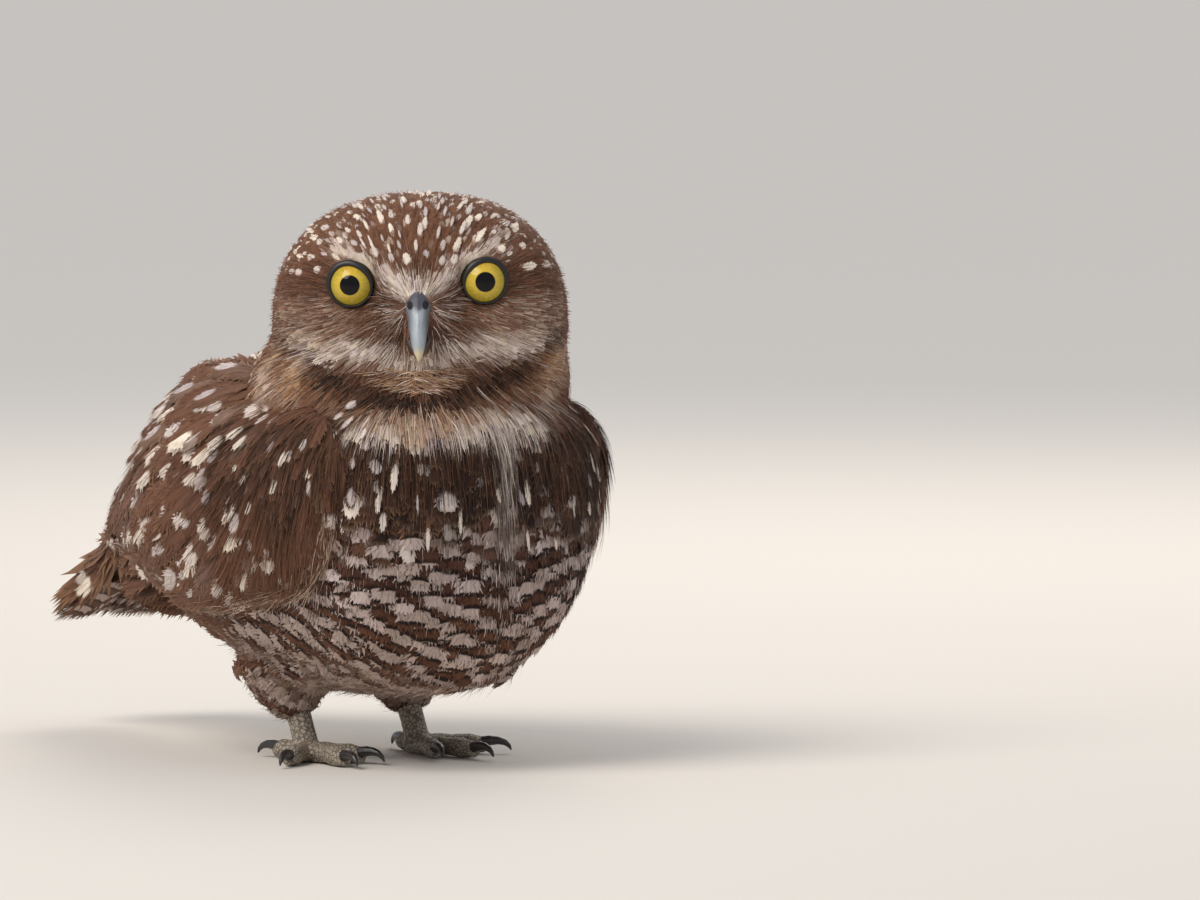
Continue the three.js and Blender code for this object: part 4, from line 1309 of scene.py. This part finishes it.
# %% Rows of long feathers
# Each row: how many, root and tip as (along, angle, height), degrees that root and tip rise over the row,
# millimetres that the tips move along it, and the width in millimetres.
WING_ROWS = {
    "primaries": (8, (38, -14, 0.6), (127, -10, 1.8), 28, 54, -24, 10),
    "secondaries": (10, (4, -22, 0.9), (66, -20, 2.4), 56, 74, 18, 12),
    "greater_coverts": (10, (-14, -22, 0.8), (36, -24, 2.9), 56, 64, 12, 10.5),
    "long_scapulars": (6, (14, 34, 0.4), (66, 30, 1.8), 20, 28, 10, 12),
}


def wing_row(side, name, seed):
    """One row of long feathers that follow the side of the body."""
    count, root, tip, root_rise, tip_rise, tip_back, width = WING_ROWS[name]
    chance = np.random.default_rng(seed)
    share = np.linspace(0, 1, count)
    t = np.linspace(0, 1, 9)[None]
    vary = chance.uniform(-1, 1, (4, count))
    uneven = 1.2 if name in ("primaries", "secondaries") else 3.2
    root_y, tip_y = root[0] + 0.6 * uneven * vary[3], tip[0] + tip_back * share + uneven * vary[0]
    root_angle, tip_angle = root[1] + root_rise * share, tip[1] + tip_rise * share + 1.0 * uneven * vary[1]
    y = root_y[:, None] * (1 - t) + tip_y[:, None] * t
    bow = (3 + vary[2])[:, None] * np.sin(np.pi * t)
    angle = root_angle[:, None] * (1 - t) + tip_angle[:, None] * t + bow
    height = root[2] + (tip[2] - root[2]) * t**0.6 + 0.12 * vary[2][:, None]
    shafts, outward = over_body(side, y, angle, height)
    way = unit(np.gradient(shafts, axis=1))
    sideways = np.cross(way, outward)
    length = np.linalg.norm(np.diff(shafts, axis=1), axis=2).sum(1)
    half = np.full(count, width / 2 * MM) * (1 + 0.08 * vary[2])
    ground = np.tile((0.0, 0.1, 0.12, 0.0), (count, 1)) + np.abs(chance.normal(0, 0.06, (count, 4)))
    marks = np.tile((1.0, 0.0, 0.0, 0.0), (count, 1))
    marks[:, 0] = chance.random(count) < 0.85
    aspect = float(half.mean() / length.mean())
    patterns = [vane_pattern(seed + k, 12, 34, aspect, shoulder=0.72, thick=0.009, loose=0.05, columns=5)
                for k in range(3)]
    roots_uv = skin.unwrapped(shafts[:, 0])
    return bend_on(shafts, sideways, outward, length, half, patterns, (ground, marks), roots_uv, seed,
                   cup=0.22, roll=0.06)


print("long feathers on each wing:", sum(row[0] for row in WING_ROWS.values()))

# %% [markdown]
# ## A bed for the coverts
# Under the coverts lies the feathered arm, which stands out from the body's side. Coverts laid on the body's
# own skin would run inside it. So the arm is one shallow closed plate, drawn on the body's sections, and its
# edges sink into the coat.

# %% The arm under the coverts
def wing_bed(side):
    """The arm under the coverts, as one closed plate whose edges sink into the body's coat.

    Gives its points, its triangles and how many of those, the first ones, are its top.
    """
    y = np.linspace(WING_START, WING_END, 44)[:, None]
    t = np.linspace(0, 1, 20)[None]
    angle = wing_low(y) * (1 - t) + wing_high(y) * t
    swell = np.sin(np.pi * t) ** np.where(t < 0.5, 0.4, 0.12) * (soft(y, -42, -24) * soft(y, 97, 80)) ** 0.4
    upper, _ = over_body(side, y + 0 * t, angle, 5.0 * swell - 2.8)
    lower, _ = over_body(side, y + 0 * t, angle, -4.5 + 0 * angle)
    rows, columns = angle.shape
    at = np.arange(rows * columns).reshape(rows, columns)
    a, b, c, d = at[:-1, :-1].ravel(), at[1:, :-1].ravel(), at[1:, 1:].ravel(), at[:-1, 1:].ravel()
    top = np.concatenate([np.stack([a, b, c], 1), np.stack([a, c, d], 1)])
    rim = np.concatenate([at[0, :-1], at[:-1, -1], at[-1, :0:-1], at[:0:-1, 0]])
    after = np.roll(rim, -1)
    under = rows * columns
    wall = np.concatenate([np.stack([rim, after, after + under], 1),
                           np.stack([rim, after + under, rim + under], 1)])
    points = np.concatenate([upper.reshape(-1, 3), lower.reshape(-1, 3)])
    triangles = np.concatenate([top, top[:, ::-1] + under, wall])
    facing_out = triangles if side > 0 else triangles[:, ::-1]
    return points, facing_out, len(top)


print("the arm runs from", WING_START, "to", WING_END, "mm along the body")

# %% [markdown]
# ## Small feathers of the wing
# The coverts lie like tiles, small on the bend of the wing and larger towards the back. Counted rows would
# look ruled, so they are scattered on the bed in three zones that overlap, and the short scapulars over them.
# Loose barbs then soften the bend and draw the pale fringe at the wing's lower edge.

# %% Coverts and loose barbs of the wing
covert_vanes = [vane_pattern(seed, 5, 18, 0.26, shoulder=0.6, core=0.76, thick=0.016, loose=0.08)
                for seed in range(40, 46)]


def coverts(surface, wanted, spacing, length, half, seed, spots, dark, start=0.5, slope=0.12):
    """Small overlapping wing feathers scattered on the bed. Spots is the share with a spot."""
    roots, normals = surface.scatter(wanted, spacing * MM, seed)
    chance = np.random.default_rng(seed + 1)
    headings = lie(roots, normals) + chance.normal(0, 0.1, roots.shape)
    lengths = length * MM * chance.uniform(0.8, 1.2, len(roots))
    halves = half * MM * chance.uniform(0.85, 1.15, len(roots))
    rise = slope * chance.uniform(0.85, 1.2, len(roots))
    shafts = lay_shafts(surface, roots, flat_on(headings, normals), lengths, rise, start=start * MM)
    ground = np.abs(chance.normal(0, 0.1, (len(roots), 4))) + np.array([0, dark, 0.08, 0])
    marks = np.zeros((len(roots), 4))
    marks[:, 0] = chance.random(len(roots)) < spots
    print(len(roots), "coverts")
    return bend_on(*shafts, lengths, halves, covert_vanes, (ground, marks), skin.unwrapped(roots), seed + 2)


def wing_coverts(surface, seed):
    """Greater, median and lesser coverts from back to front, and the short scapulars over the top edge."""
    along = lambda p: plan(p)[:, 1]
    greater = lambda p, n: along(p) > 12
    median = lambda p, n: (along(p) > -16) & (along(p) < 20)
    lesser = lambda p, n: along(p) < -4
    scapulars = lambda p, n: (body_angle(p) > wing_high(along(p)) - 27) & (along(p) > 8) & (along(p) < 62)
    return [coverts(surface, greater, 5.6, 19, 4.9, seed, 0.7, 0.05),
            coverts(surface, median, 4.3, 14, 3.9, seed + 3, 0.6, 0.15),
            coverts(surface, lesser, 2.3, 9.5, 2.3, seed + 6, 0.22, 0.3),
            coverts(surface, scapulars, 5.2, 16, 4.0, seed + 15, 0.75, 0.05, start=1.1, slope=0.13)]


def wing_barbs(surface, seed):
    """Loose barbs on the wing: dense on its bend, sparse behind, and a pale buff fringe at the low edge."""
    along = lambda p: plan(p)[:, 1]
    low_edge = lambda p, n: (along(p) < 24) & (body_angle(p) < wing_low(along(p)) + 9)
    over_all = stranded(lambda p, n: along(p) > 0, 1.9, seed + 8, 0.8, 0.11, slope=0.16, start=1.3,
                        surface=surface)
    over_all["ground"][:, :2] = (0, 0.2)
    bend = stranded(lambda p, n: along(p) < 4, 0.8, seed + 9, 0.7, 0.12, start=0.9, surface=surface)
    bend["ground"][:, 0] = 0
    edge = stranded(low_edge, 0.9, seed + 12, 1.1, 0.15, slope=0.1, start=0.8, surface=surface)
    edge["ground"][:, :3] = (0.8, 0, 0.6)
    for batch in (bend, over_all, edge):
        batch["marks"][:] = 0
    return [bend, over_all, edge]


print("covert patterns:", len(covert_vanes))

# %% [markdown]
# ## Both wings
# Each wing is four pieces: long feathers, coverts, loose barbs and the arm. A mirrored copy of one wing
# would show the same chance marks on both sides, so each side is laid by itself, with its own seeds.

# %% Dress both wings
for side, hand in ((-1, "right"), (1, "left")):
    rows = [wing_row(side, name, 200 + 10 * n + (side > 0)) for n, name in enumerate(WING_ROWS)]
    coat(f"wing_{hand}_feathers", rows, quill_finish, replaces=[f"wing_{hand}"])
    points, triangles, tops = wing_bed(side)
    top = triangles[:tops]
    bed = Surface(points, top, smooth_normals(points, top))
    seed = 400 + 20 * (side > 0)
    coat(f"wing_{hand}_coverts", wing_coverts(bed, seed), wing_finish)
    coat(f"wing_{hand}_strands", wing_barbs(bed, seed), strand_finish)
    maps = bare_maps(points, unwrapped_corners(points, triangles))
    looks = {"ground": np.tile((0.0, 0.3, 0.1, 0.5), (len(points), 1)), "marks": np.zeros((len(points), 4))}
    finished(make_piece(f"wing_{hand}_arm", points, triangles, maps, looks),
             material=wing_finish, replaces=[f"wing_{hand}"])

# %% [markdown]
# ## The tail
# Twelve tail feathers fan a little, the middle pair on top, barred across with buff. Coverts from the rump
# hide where they start. One feather could be modelled and turned eleven times. Here the fan's angle sets
# each shaft, so the outer ones can be shorter and lie lower as well.

# %% Tail feathers
TAIL_ROOT, TAIL_TIP = place(0, 70, 56), place(0, 133, 25.5)


def tail_feathers():
    """Six feathers to each side, each one lower and shorter than the one before it."""
    down = unit(TAIL_TIP - TAIL_ROOT)
    lift = unit(np.array([0, -down[2], down[1]]))
    t = np.linspace(0, 1, 9)
    shafts, sideways = [], []
    for side in (-1, 1):
        for i in range(6):
            fan = math.radians(1.2 + 2.35 * i) * side
            way = unit(down * math.cos(fan) + np.cross(lift, down) * math.sin(fan))
            reach = np.linalg.norm(TAIL_TIP - TAIL_ROOT) - 0.0005 * i**1.4
            over = (1.6 - 0.65 * i + 1.5 * np.sin(math.pi * t)) * MM
            shafts.append(TAIL_ROOT + t[:, None] * way * reach + over[:, None] * lift)
            sideways.append(np.tile(np.cross(way, lift), (len(t), 1)))
    shafts, sideways = np.array(shafts), np.array(sideways)
    outward = np.broadcast_to(lift, shafts.shape)
    count = len(shafts)
    length = np.linalg.norm(shafts[:, -1] - shafts[:, 0], axis=1)
    patterns = [vane_pattern(70 + k, 16, 44, 5.2 / 70, shoulder=0.86, thick=0.009, loose=0.02, columns=5)
                for k in range(3)]
    looks = np.tile((0.0, 0.1, 0.1, 0), (count, 1)), np.tile((0.0, 0.75, 0.0, 0.3), (count, 1))
    return bend_on(shafts, sideways, outward, length, np.full(count, 5.2 * MM), patterns, looks,
                   skin.unwrapped(shafts[:, 4]), 71, cup=0.12, roll=0.02)


def tail_coverts(seed):
    """Feathers that start on the rump and run straight out over and under the tail's base."""
    on_rump = lambda p, n: (plan(p)[:, 1] > 58) & (plan(p)[:, 2] > 30) & (np.abs(plan(p)[:, 0]) < 27)
    roots, normals = skin.scatter(on_rump, 3.4 * MM, seed)
    chance = np.random.default_rng(seed + 1)
    aim_at = place(np.clip(plan(roots)[:, 0], -9, 9), 118, 33)
    ways = unit(aim_at - roots) + chance.normal(0, 0.05, roots.shape)
    ways = unit(ways - normals * np.minimum(np.sum(ways * normals, -1, keepdims=True), 0))
    over = np.where(plan(roots)[:, 2:] > 33, 1.0, -1.0) * np.array([0, 0, 1.0])
    outward = flat_on(normals + over, ways)[:, None]
    length = chance.uniform(19, 27, len(roots)) * MM
    reach = np.linspace(0, 1, 6)[:, None] * length[:, None, None]
    points = roots[:, None] + ways[:, None] * reach + outward * (1.6 * MM + 0.06 * reach)
    across = np.cross(ways[:, None], outward)
    shafts = points, np.repeat(across, 6, 1), np.repeat(outward, 6, 1)
    looks = looks_at(roots, normals, chance, 1.0, 0.1)
    looks[0][:, 0] *= 0.3
    looks[1][:] = (1, 0, 0, 0)
    looks[1][:, 0] = chance.random(len(roots)) < 0.35
    half = np.full(len(roots), 4 * MM)
    print(len(roots), "tail coverts")
    return bend_on(*shafts, length, half, covert_vanes, looks, skin.unwrapped(roots), seed)


coat("tail_feathers", [tail_feathers()], body_finish, replaces=["tail"])
coat("tail_coverts", [tail_coverts(81)], wing_finish)

# %% [markdown]
# ## The eyes
# An owl's eye is a ball with a clear bulge at the front. It could be a sphere with a second clear dome. One
# body turned from a profile is simpler, and it keeps the solids' size and place. The iris, its fibres, the
# dark rim and the pupil are rings round the eye's own axis, under a wet coat that catches the lamps.

# %% The eye's finish
EYEBALL, BULGE, PUPIL = 8.2, 0.9, 2.5


def eye_finish():
    """Pupil, iris with its fibres and a warmer upper part, and the dark rim, by distance from the axis."""
    board = Board("eye")
    x, y, z = board.parts(board.object_place())
    ring = (x * x + z * z).root() * (1 / MM)
    turn = board.add("ShaderNodeMath", {"operation": "ARCTAN2"}, {0: z, 1: x})
    fibre = board.noise(board.vector(turn * 7, ring * 0.9, 0), detail=3.0)
    iris = board.mix(ring.soft(2.6, 4.9), paint(0xD0B03A), paint(0xA8942C))
    iris = board.mix((fibre - 0.45) * 1.4 * ring.soft(5.2, 4.0), iris, paint(0xE2CE74))
    upper = (z * (0.3 / MM) - abs(x) * (0.05 / MM) + fibre).soft(1.1, 2.1)
    iris = board.mix(upper * 0.45, iris, paint(0xDE9A2A))
    iris = board.mix(ring.soft(4.75, 5.2), iris, paint(0x2A2208))
    colour = board.mix(ring.soft(PUPIL - 0.12, PUPIL + 0.12), paint(0x050505), iris)
    board.set(Base_Color=colour, Roughness=0.25, Coat_Weight=1.0, Coat_Roughness=0.03,
              Coat_IOR=1.33, Specular_IOR_Level=0.0)
    return board.material


iris_finish = eye_finish()
print("eye nodes:", len(iris_finish.node_tree.nodes))

# %% Eyeballs
def eyeball_profile():
    """Points (radius, y) of half a ball's outline, with the front bulged inside the lids' opening."""
    edge = math.asin((EYE_OPENING - 0.2) / EYEBALL)
    profile = []
    for step in range(41):
        a = math.pi * step / 40
        bulge = BULGE * max(0.0, math.cos(min(a / edge, 1) * math.pi / 2))
        profile.append((EYEBALL * math.sin(a), -EYEBALL * math.cos(a) - bulge))
    return np.array(profile)


def turned(profile, around=48):
    """A closed body turned round the Y axis from (radius, y) points that start and end on it."""
    turn = np.linspace(0, 2 * math.pi, around, endpoint=False)
    ring = profile[1:-1]
    points = np.stack([ring[:, :1] * np.cos(turn), ring[:, 1:] + 0 * turn, ring[:, :1] * np.sin(turn)], -1)
    points = np.concatenate([points.reshape(-1, 3), [[0, profile[0][1], 0], [0, profile[-1][1], 0]]])
    first, last = len(points) - 2, len(points) - 1
    triangles = []
    for j in range(around):
        k = (j + 1) % around
        for i in range(len(ring) - 1):
            a, b = i * around, (i + 1) * around
            triangles += [(a + j, a + k, b + k), (a + j, b + k, b + j)]
        end = (len(ring) - 1) * around
        triangles += [(first, k, j), (last, end + j, end + k)]
    return points, np.array(triangles)


ball_points, ball_triangles = turned(eyeball_profile())
eye_poses = {}
for side, hand in ((-1, "right"), (1, "left")):
    centre, axes = eye_axes(side)
    eye_poses[hand] = Matrix.Translation(Vector(centre)) @ Matrix(axes.tolist()).to_4x4()
    eye = make_piece(f"eye_{hand}_ball", ball_points * MM, ball_triangles[:, ::-1])
    eye.matrix_world = eye_poses[hand]
    finished(eye, material=iris_finish, replaces=[f"eye_{hand}"])

# %% [markdown]
# ## The lids
# Naked black lid rims ring each eye, a little thicker above and outside. A plain torus would give a toy's
# round stare. Each is a soft tube round the opening whose width and height change on the way round, and
# whose upper part is pressed down into a slight frown.

# %% Lid rims
LID_AROUND, LID_ACROSS = 64, 10


def plain_finish(name, code, roughness, grain=400.0, depth=0.0001, vary=0.25, **more):
    """A skin or horn finish: one colour with uneven tone and a fine grain."""
    board = Board(name)
    grainy = board.noise(board.object_place(), grain, 4.0)
    colour = board.brighten(paint(code), 1 - vary / 2 + grainy * vary)
    board.set(Base_Color=colour, Roughness=roughness, Normal=board.bump(grainy, 0.5, depth), **more)
    return board.material


def lid_rim(side):
    """Points and triangles of one rim, in millimetres in its eye's own axes."""
    turn = np.linspace(0, 2 * math.pi, LID_AROUND, endpoint=False)[:, None]
    roll = np.linspace(0, 2 * math.pi, LID_ACROSS, endpoint=False)[None]
    outer = 0.5 + 0.5 * np.cos(turn - math.radians(90 - side * 35))
    frown = np.clip(np.cos(turn - math.radians(90 + side * 40)), 0, 1) ** 2
    wide = 0.36 + 0.36 * outer**2 + 0.2 * frown + 0.03 * np.sin(turn * 9)
    reach = EYE_OPENING + wide * 0.92 + wide * np.cos(roll) - 0.75 * frown
    ahead = -LID_PLANE - 0.15 + 0.35 * (reach - EYE_OPENING) - 0.5 * np.sin(roll) - 0.5 * frown
    rim = np.stack([reach * np.cos(turn), ahead + 0 * turn, reach * np.sin(turn)], -1).reshape(-1, 3)
    j, k = np.meshgrid(np.arange(LID_AROUND), np.arange(LID_ACROSS), indexing="ij")
    at = lambda j, k: (j % LID_AROUND) * LID_ACROSS + k % LID_ACROSS
    a, b, c, d = at(j, k).ravel(), at(j + 1, k).ravel(), at(j + 1, k + 1).ravel(), at(j, k + 1).ravel()
    return rim, np.concatenate([np.stack([a, b, c], 1), np.stack([a, c, d], 1)])


lid_finish = plain_finish("lid", 0x1A1817, 0.42)
for side, hand in ((-1, "right"), (1, "left")):
    rim, triangles = lid_rim(side)
    lid = make_piece(f"lids_{hand}", rim * MM, triangles)
    lid.matrix_world = eye_poses[hand]
    finished(lid, material=lid_finish)

# %% [markdown]
# ## The bill
# A bill is horn over bone, in one smooth hooked curve. The solids already have that form, so it isn't
# modelled again: a fine remesh rounds their facets. Its colour runs from a dark blue-grey cere at the top,
# through pale horn, to a straw-coloured hook, and darker sides leave a painted highlight along the ridge.
# The nostrils are shallow pits, drawn by a bump and painted near-black as painted shade.

# %% Bill pieces
def bill_finish():
    """Horn coloured by its place in the head's own axes, with darker sides that leave a painted highlight
    along the ridge, and a nostril on each side painted near-black as painted shade.
    """
    board = Board("bill")
    x, y, z = board.parts(board.object_place())
    from_middle = [way * (1 / MM) - float(m / MM) for way, m in zip((x, y, z), head_centre)]
    across, back, up = (sum(way * float(a) for way, a in zip(from_middle, axis)) for axis in head_axes.T)
    grain = board.noise(board.object_place(), 900.0, 4.0)
    colour = board.mix(up.soft(-2.5, -5.5), paint(0xA6AEB4), paint(0xD8CBA0))
    # Darker sides leave the middle ridge pale: a painted highlight along the ridge.
    colour = board.mix(abs(across).soft(0.9, 2.4), colour, paint(0x6C727A))
    colour = board.mix((up + grain * 1.6 - abs(across) * 0.4).soft(5.4, 7.4), colour, paint(0x4A4852))
    # The nostril pits are painted near-black: painted shade inside each hole.
    side, rise = (abs(across) - 2.0) / 0.75, (up - 6.9) / 1.05
    nostril = (side * side + rise * rise).root().soft(1.15, 0.75)
    colour = board.mix(nostril, colour, paint(0x0C0A0A))
    board.set(Base_Color=board.brighten(colour, grain * 0.3 + 0.82), Roughness=0.42, Coat_Weight=0.15,
              Coat_Roughness=0.3, Normal=board.bump(grain * 0.15 - nostril, 0.8, 0.0004))
    return board.material


def smoothed_copy(node, material, voxel, rounds):
    """A solid's own form with its facets rounded. Voxel is in metres."""
    points, triangles, _ = remeshed(node, (node,), swell=0, voxel=voxel, rounds=rounds)
    piece = make_piece(f"{node}_fine", points, triangles)
    finished(piece, material=material, replaces=[node])


smoothed_copy("bill_upper", bill_finish(), voxel=0.00028, rounds=4)
smoothed_copy("bill_lower", plain_finish("lower_bill", 0x55514F, 0.5), voxel=0.00028, rounds=4)

# %% [markdown]
# ## Legs and claws
# The feet are bare, with grey scaly skin and dark claws. The scales could be carved, but they are a
# millimetre wide, so a pattern of cells in the finish gives their edges as colour and relief.

# %% Legs, toes and claws
def leg_finish():
    """Pale scales with darker gaps between them."""
    board = Board("leg_skin")
    spot = board.object_place()
    cells = board.add("ShaderNodeTexVoronoi", {"feature": "DISTANCE_TO_EDGE"},
                      {"Vector": spot, "Scale": 900.0})
    grain = board.noise(spot, 500.0, 3.0)
    scale = cells.soft(0.02, 0.16)
    colour = board.mix(scale, paint(0x5E544A), paint(0xA39684))
    board.set(Base_Color=board.brighten(colour, 0.8 + grain * 0.4), Roughness=0.62,
              Normal=board.bump(scale + grain * 0.3, 0.6, 0.0002))
    return board.material


leg_skin = leg_finish()
claw_horn = plain_finish("claw", 0x2B2622, 0.35, grain=300.0, Coat_Weight=0.2, Coat_Roughness=0.2)
for hand in ("right", "left"):
    smoothed_copy(f"leg_{hand}", leg_skin, voxel=0.0005, rounds=4)
    for toe in ("inner", "middle", "outer", "hind"):
        smoothed_copy(f"claw_{hand}_{toe}", claw_horn, voxel=0.00022, rounds=2)

# %% [markdown]
# ## Floor, light and camera
# The setting is a plain pale studio: a wide floor, one soft key lamp above the camera's left, a rim lamp
# behind the bird, a weak wide sun and a pale surround. Hard lamps would draw every blade. Soft ones let the
# coat read as one surface. The camera looks along the photograph's line with a long lens.

# %% Floor and surround
AZIMUTH, ELEVATION, DISTANCE, LENS = math.radians(-36), math.radians(4), 3.0, 360.0
FRAME_MIDDLE_ACROSS, FRAME_MIDDLE_UP, FRAME_MIDDLE_DEEP = 54.25, 78.75, -10.0
FLOOR = 40.0

corners = [(x * FLOOR, y * FLOOR, 0) for x, y in ((-1, -1), (1, -1), (1, 1), (-1, 1))]
floor_mesh = bpy.data.meshes.new("floor")
floor_mesh.from_pydata(corners, [], [(0, 1, 2, 3)])
floor = bpy.data.objects.new("floor", floor_mesh)
bpy.context.scene.collection.objects.link(floor)
floor_board = Board("floor")
floor_board.set(Base_Color=paint(0xDDD7CE), Roughness=0.9)
floor.data.materials.append(floor_board.material)
floor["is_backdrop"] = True

world = bpy.data.worlds.new("studio")
bpy.context.scene.world = world
world.use_nodes = True
surround = world.node_tree.nodes["Background"].inputs
surround["Color"].default_value = (0.86, 0.9, 1.0, 1)
surround["Strength"].default_value = 0.55
print("floor width in metres:", 2 * FLOOR)

# %% Lamps and camera
across_way = np.array([math.cos(AZIMUTH), math.sin(AZIMUTH), 0])
deep_way = np.array([-math.sin(AZIMUTH), math.cos(AZIMUTH), 0])
aim = origin + (across_way * FRAME_MIDDLE_ACROSS + deep_way * FRAME_MIDDLE_DEEP) * MM
aim[2] = FRAME_MIDDLE_UP * MM
owl_middle = place(0, 10, 70)


def looks_along(way):
    """The turn of a lamp or camera that looks along a direction."""
    return Vector(way).to_track_quat("-Z", "Y").to_euler()


def lamp(name, across, near, up, width, watts, colour):
    """A square soft lamp at a place said across, towards the camera and up from the bird, in metres."""
    data = bpy.data.lights.new(name, "AREA")
    data.size, data.energy, data.color = width, watts, colour
    light = bpy.data.objects.new(name, data)
    spot = owl_middle + across_way * across - deep_way * near + np.array([0, 0, up])
    light.location = spot
    light.rotation_euler = looks_along(owl_middle - spot)
    bpy.context.scene.collection.objects.link(light)


lamp("key", -0.55, 0.5, 0.8, 0.5, 3.6, (1.0, 0.95, 0.88))
lamp("rim", 0.2, -0.8, 0.7, 0.6, 4, (1.0, 0.92, 0.82))
sky_data = bpy.data.lights.new("wide", "SUN")
sky_data.energy, sky_data.angle, sky_data.color = 1.3, math.radians(40), (1.0, 0.96, 0.9)
sky = bpy.data.objects.new("wide", sky_data)
sky.rotation_euler = looks_along(across_way * 0.5 + deep_way * 0.45 - np.array([0, 0, 0.75]))
bpy.context.scene.collection.objects.link(sky)

camera_data = bpy.data.cameras.new("camera")
camera_data.lens, camera_data.sensor_width, camera_data.clip_end = LENS, 36.0, 50.0
camera = bpy.data.objects.new("camera", camera_data)
looking = deep_way * math.cos(ELEVATION) - np.array([0, 0, math.sin(ELEVATION)])
camera.location = aim - looking * DISTANCE
camera.rotation_euler = looks_along(looking)
bpy.context.scene.collection.objects.link(camera)
bpy.context.scene.camera = camera
bpy.context.scene.view_settings.view_transform = "Standard"
print("camera at", [round(value, 2) for value in camera.location])

# %% [markdown]
# ## Size
# The dressed model has to fill the solids' box and no more, so that the part takes the room its solids say.
# Both boxes are measured, and the difference is printed for each corner.

# %% Measure and finish
visual_box = [list(corner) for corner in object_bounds()]
grown = [round(float(v - c) / MM, 1) for cad, seen in zip(cad_box, visual_box) for c, v in zip(cad, seen)]
print("corners moved by mm:", grown)
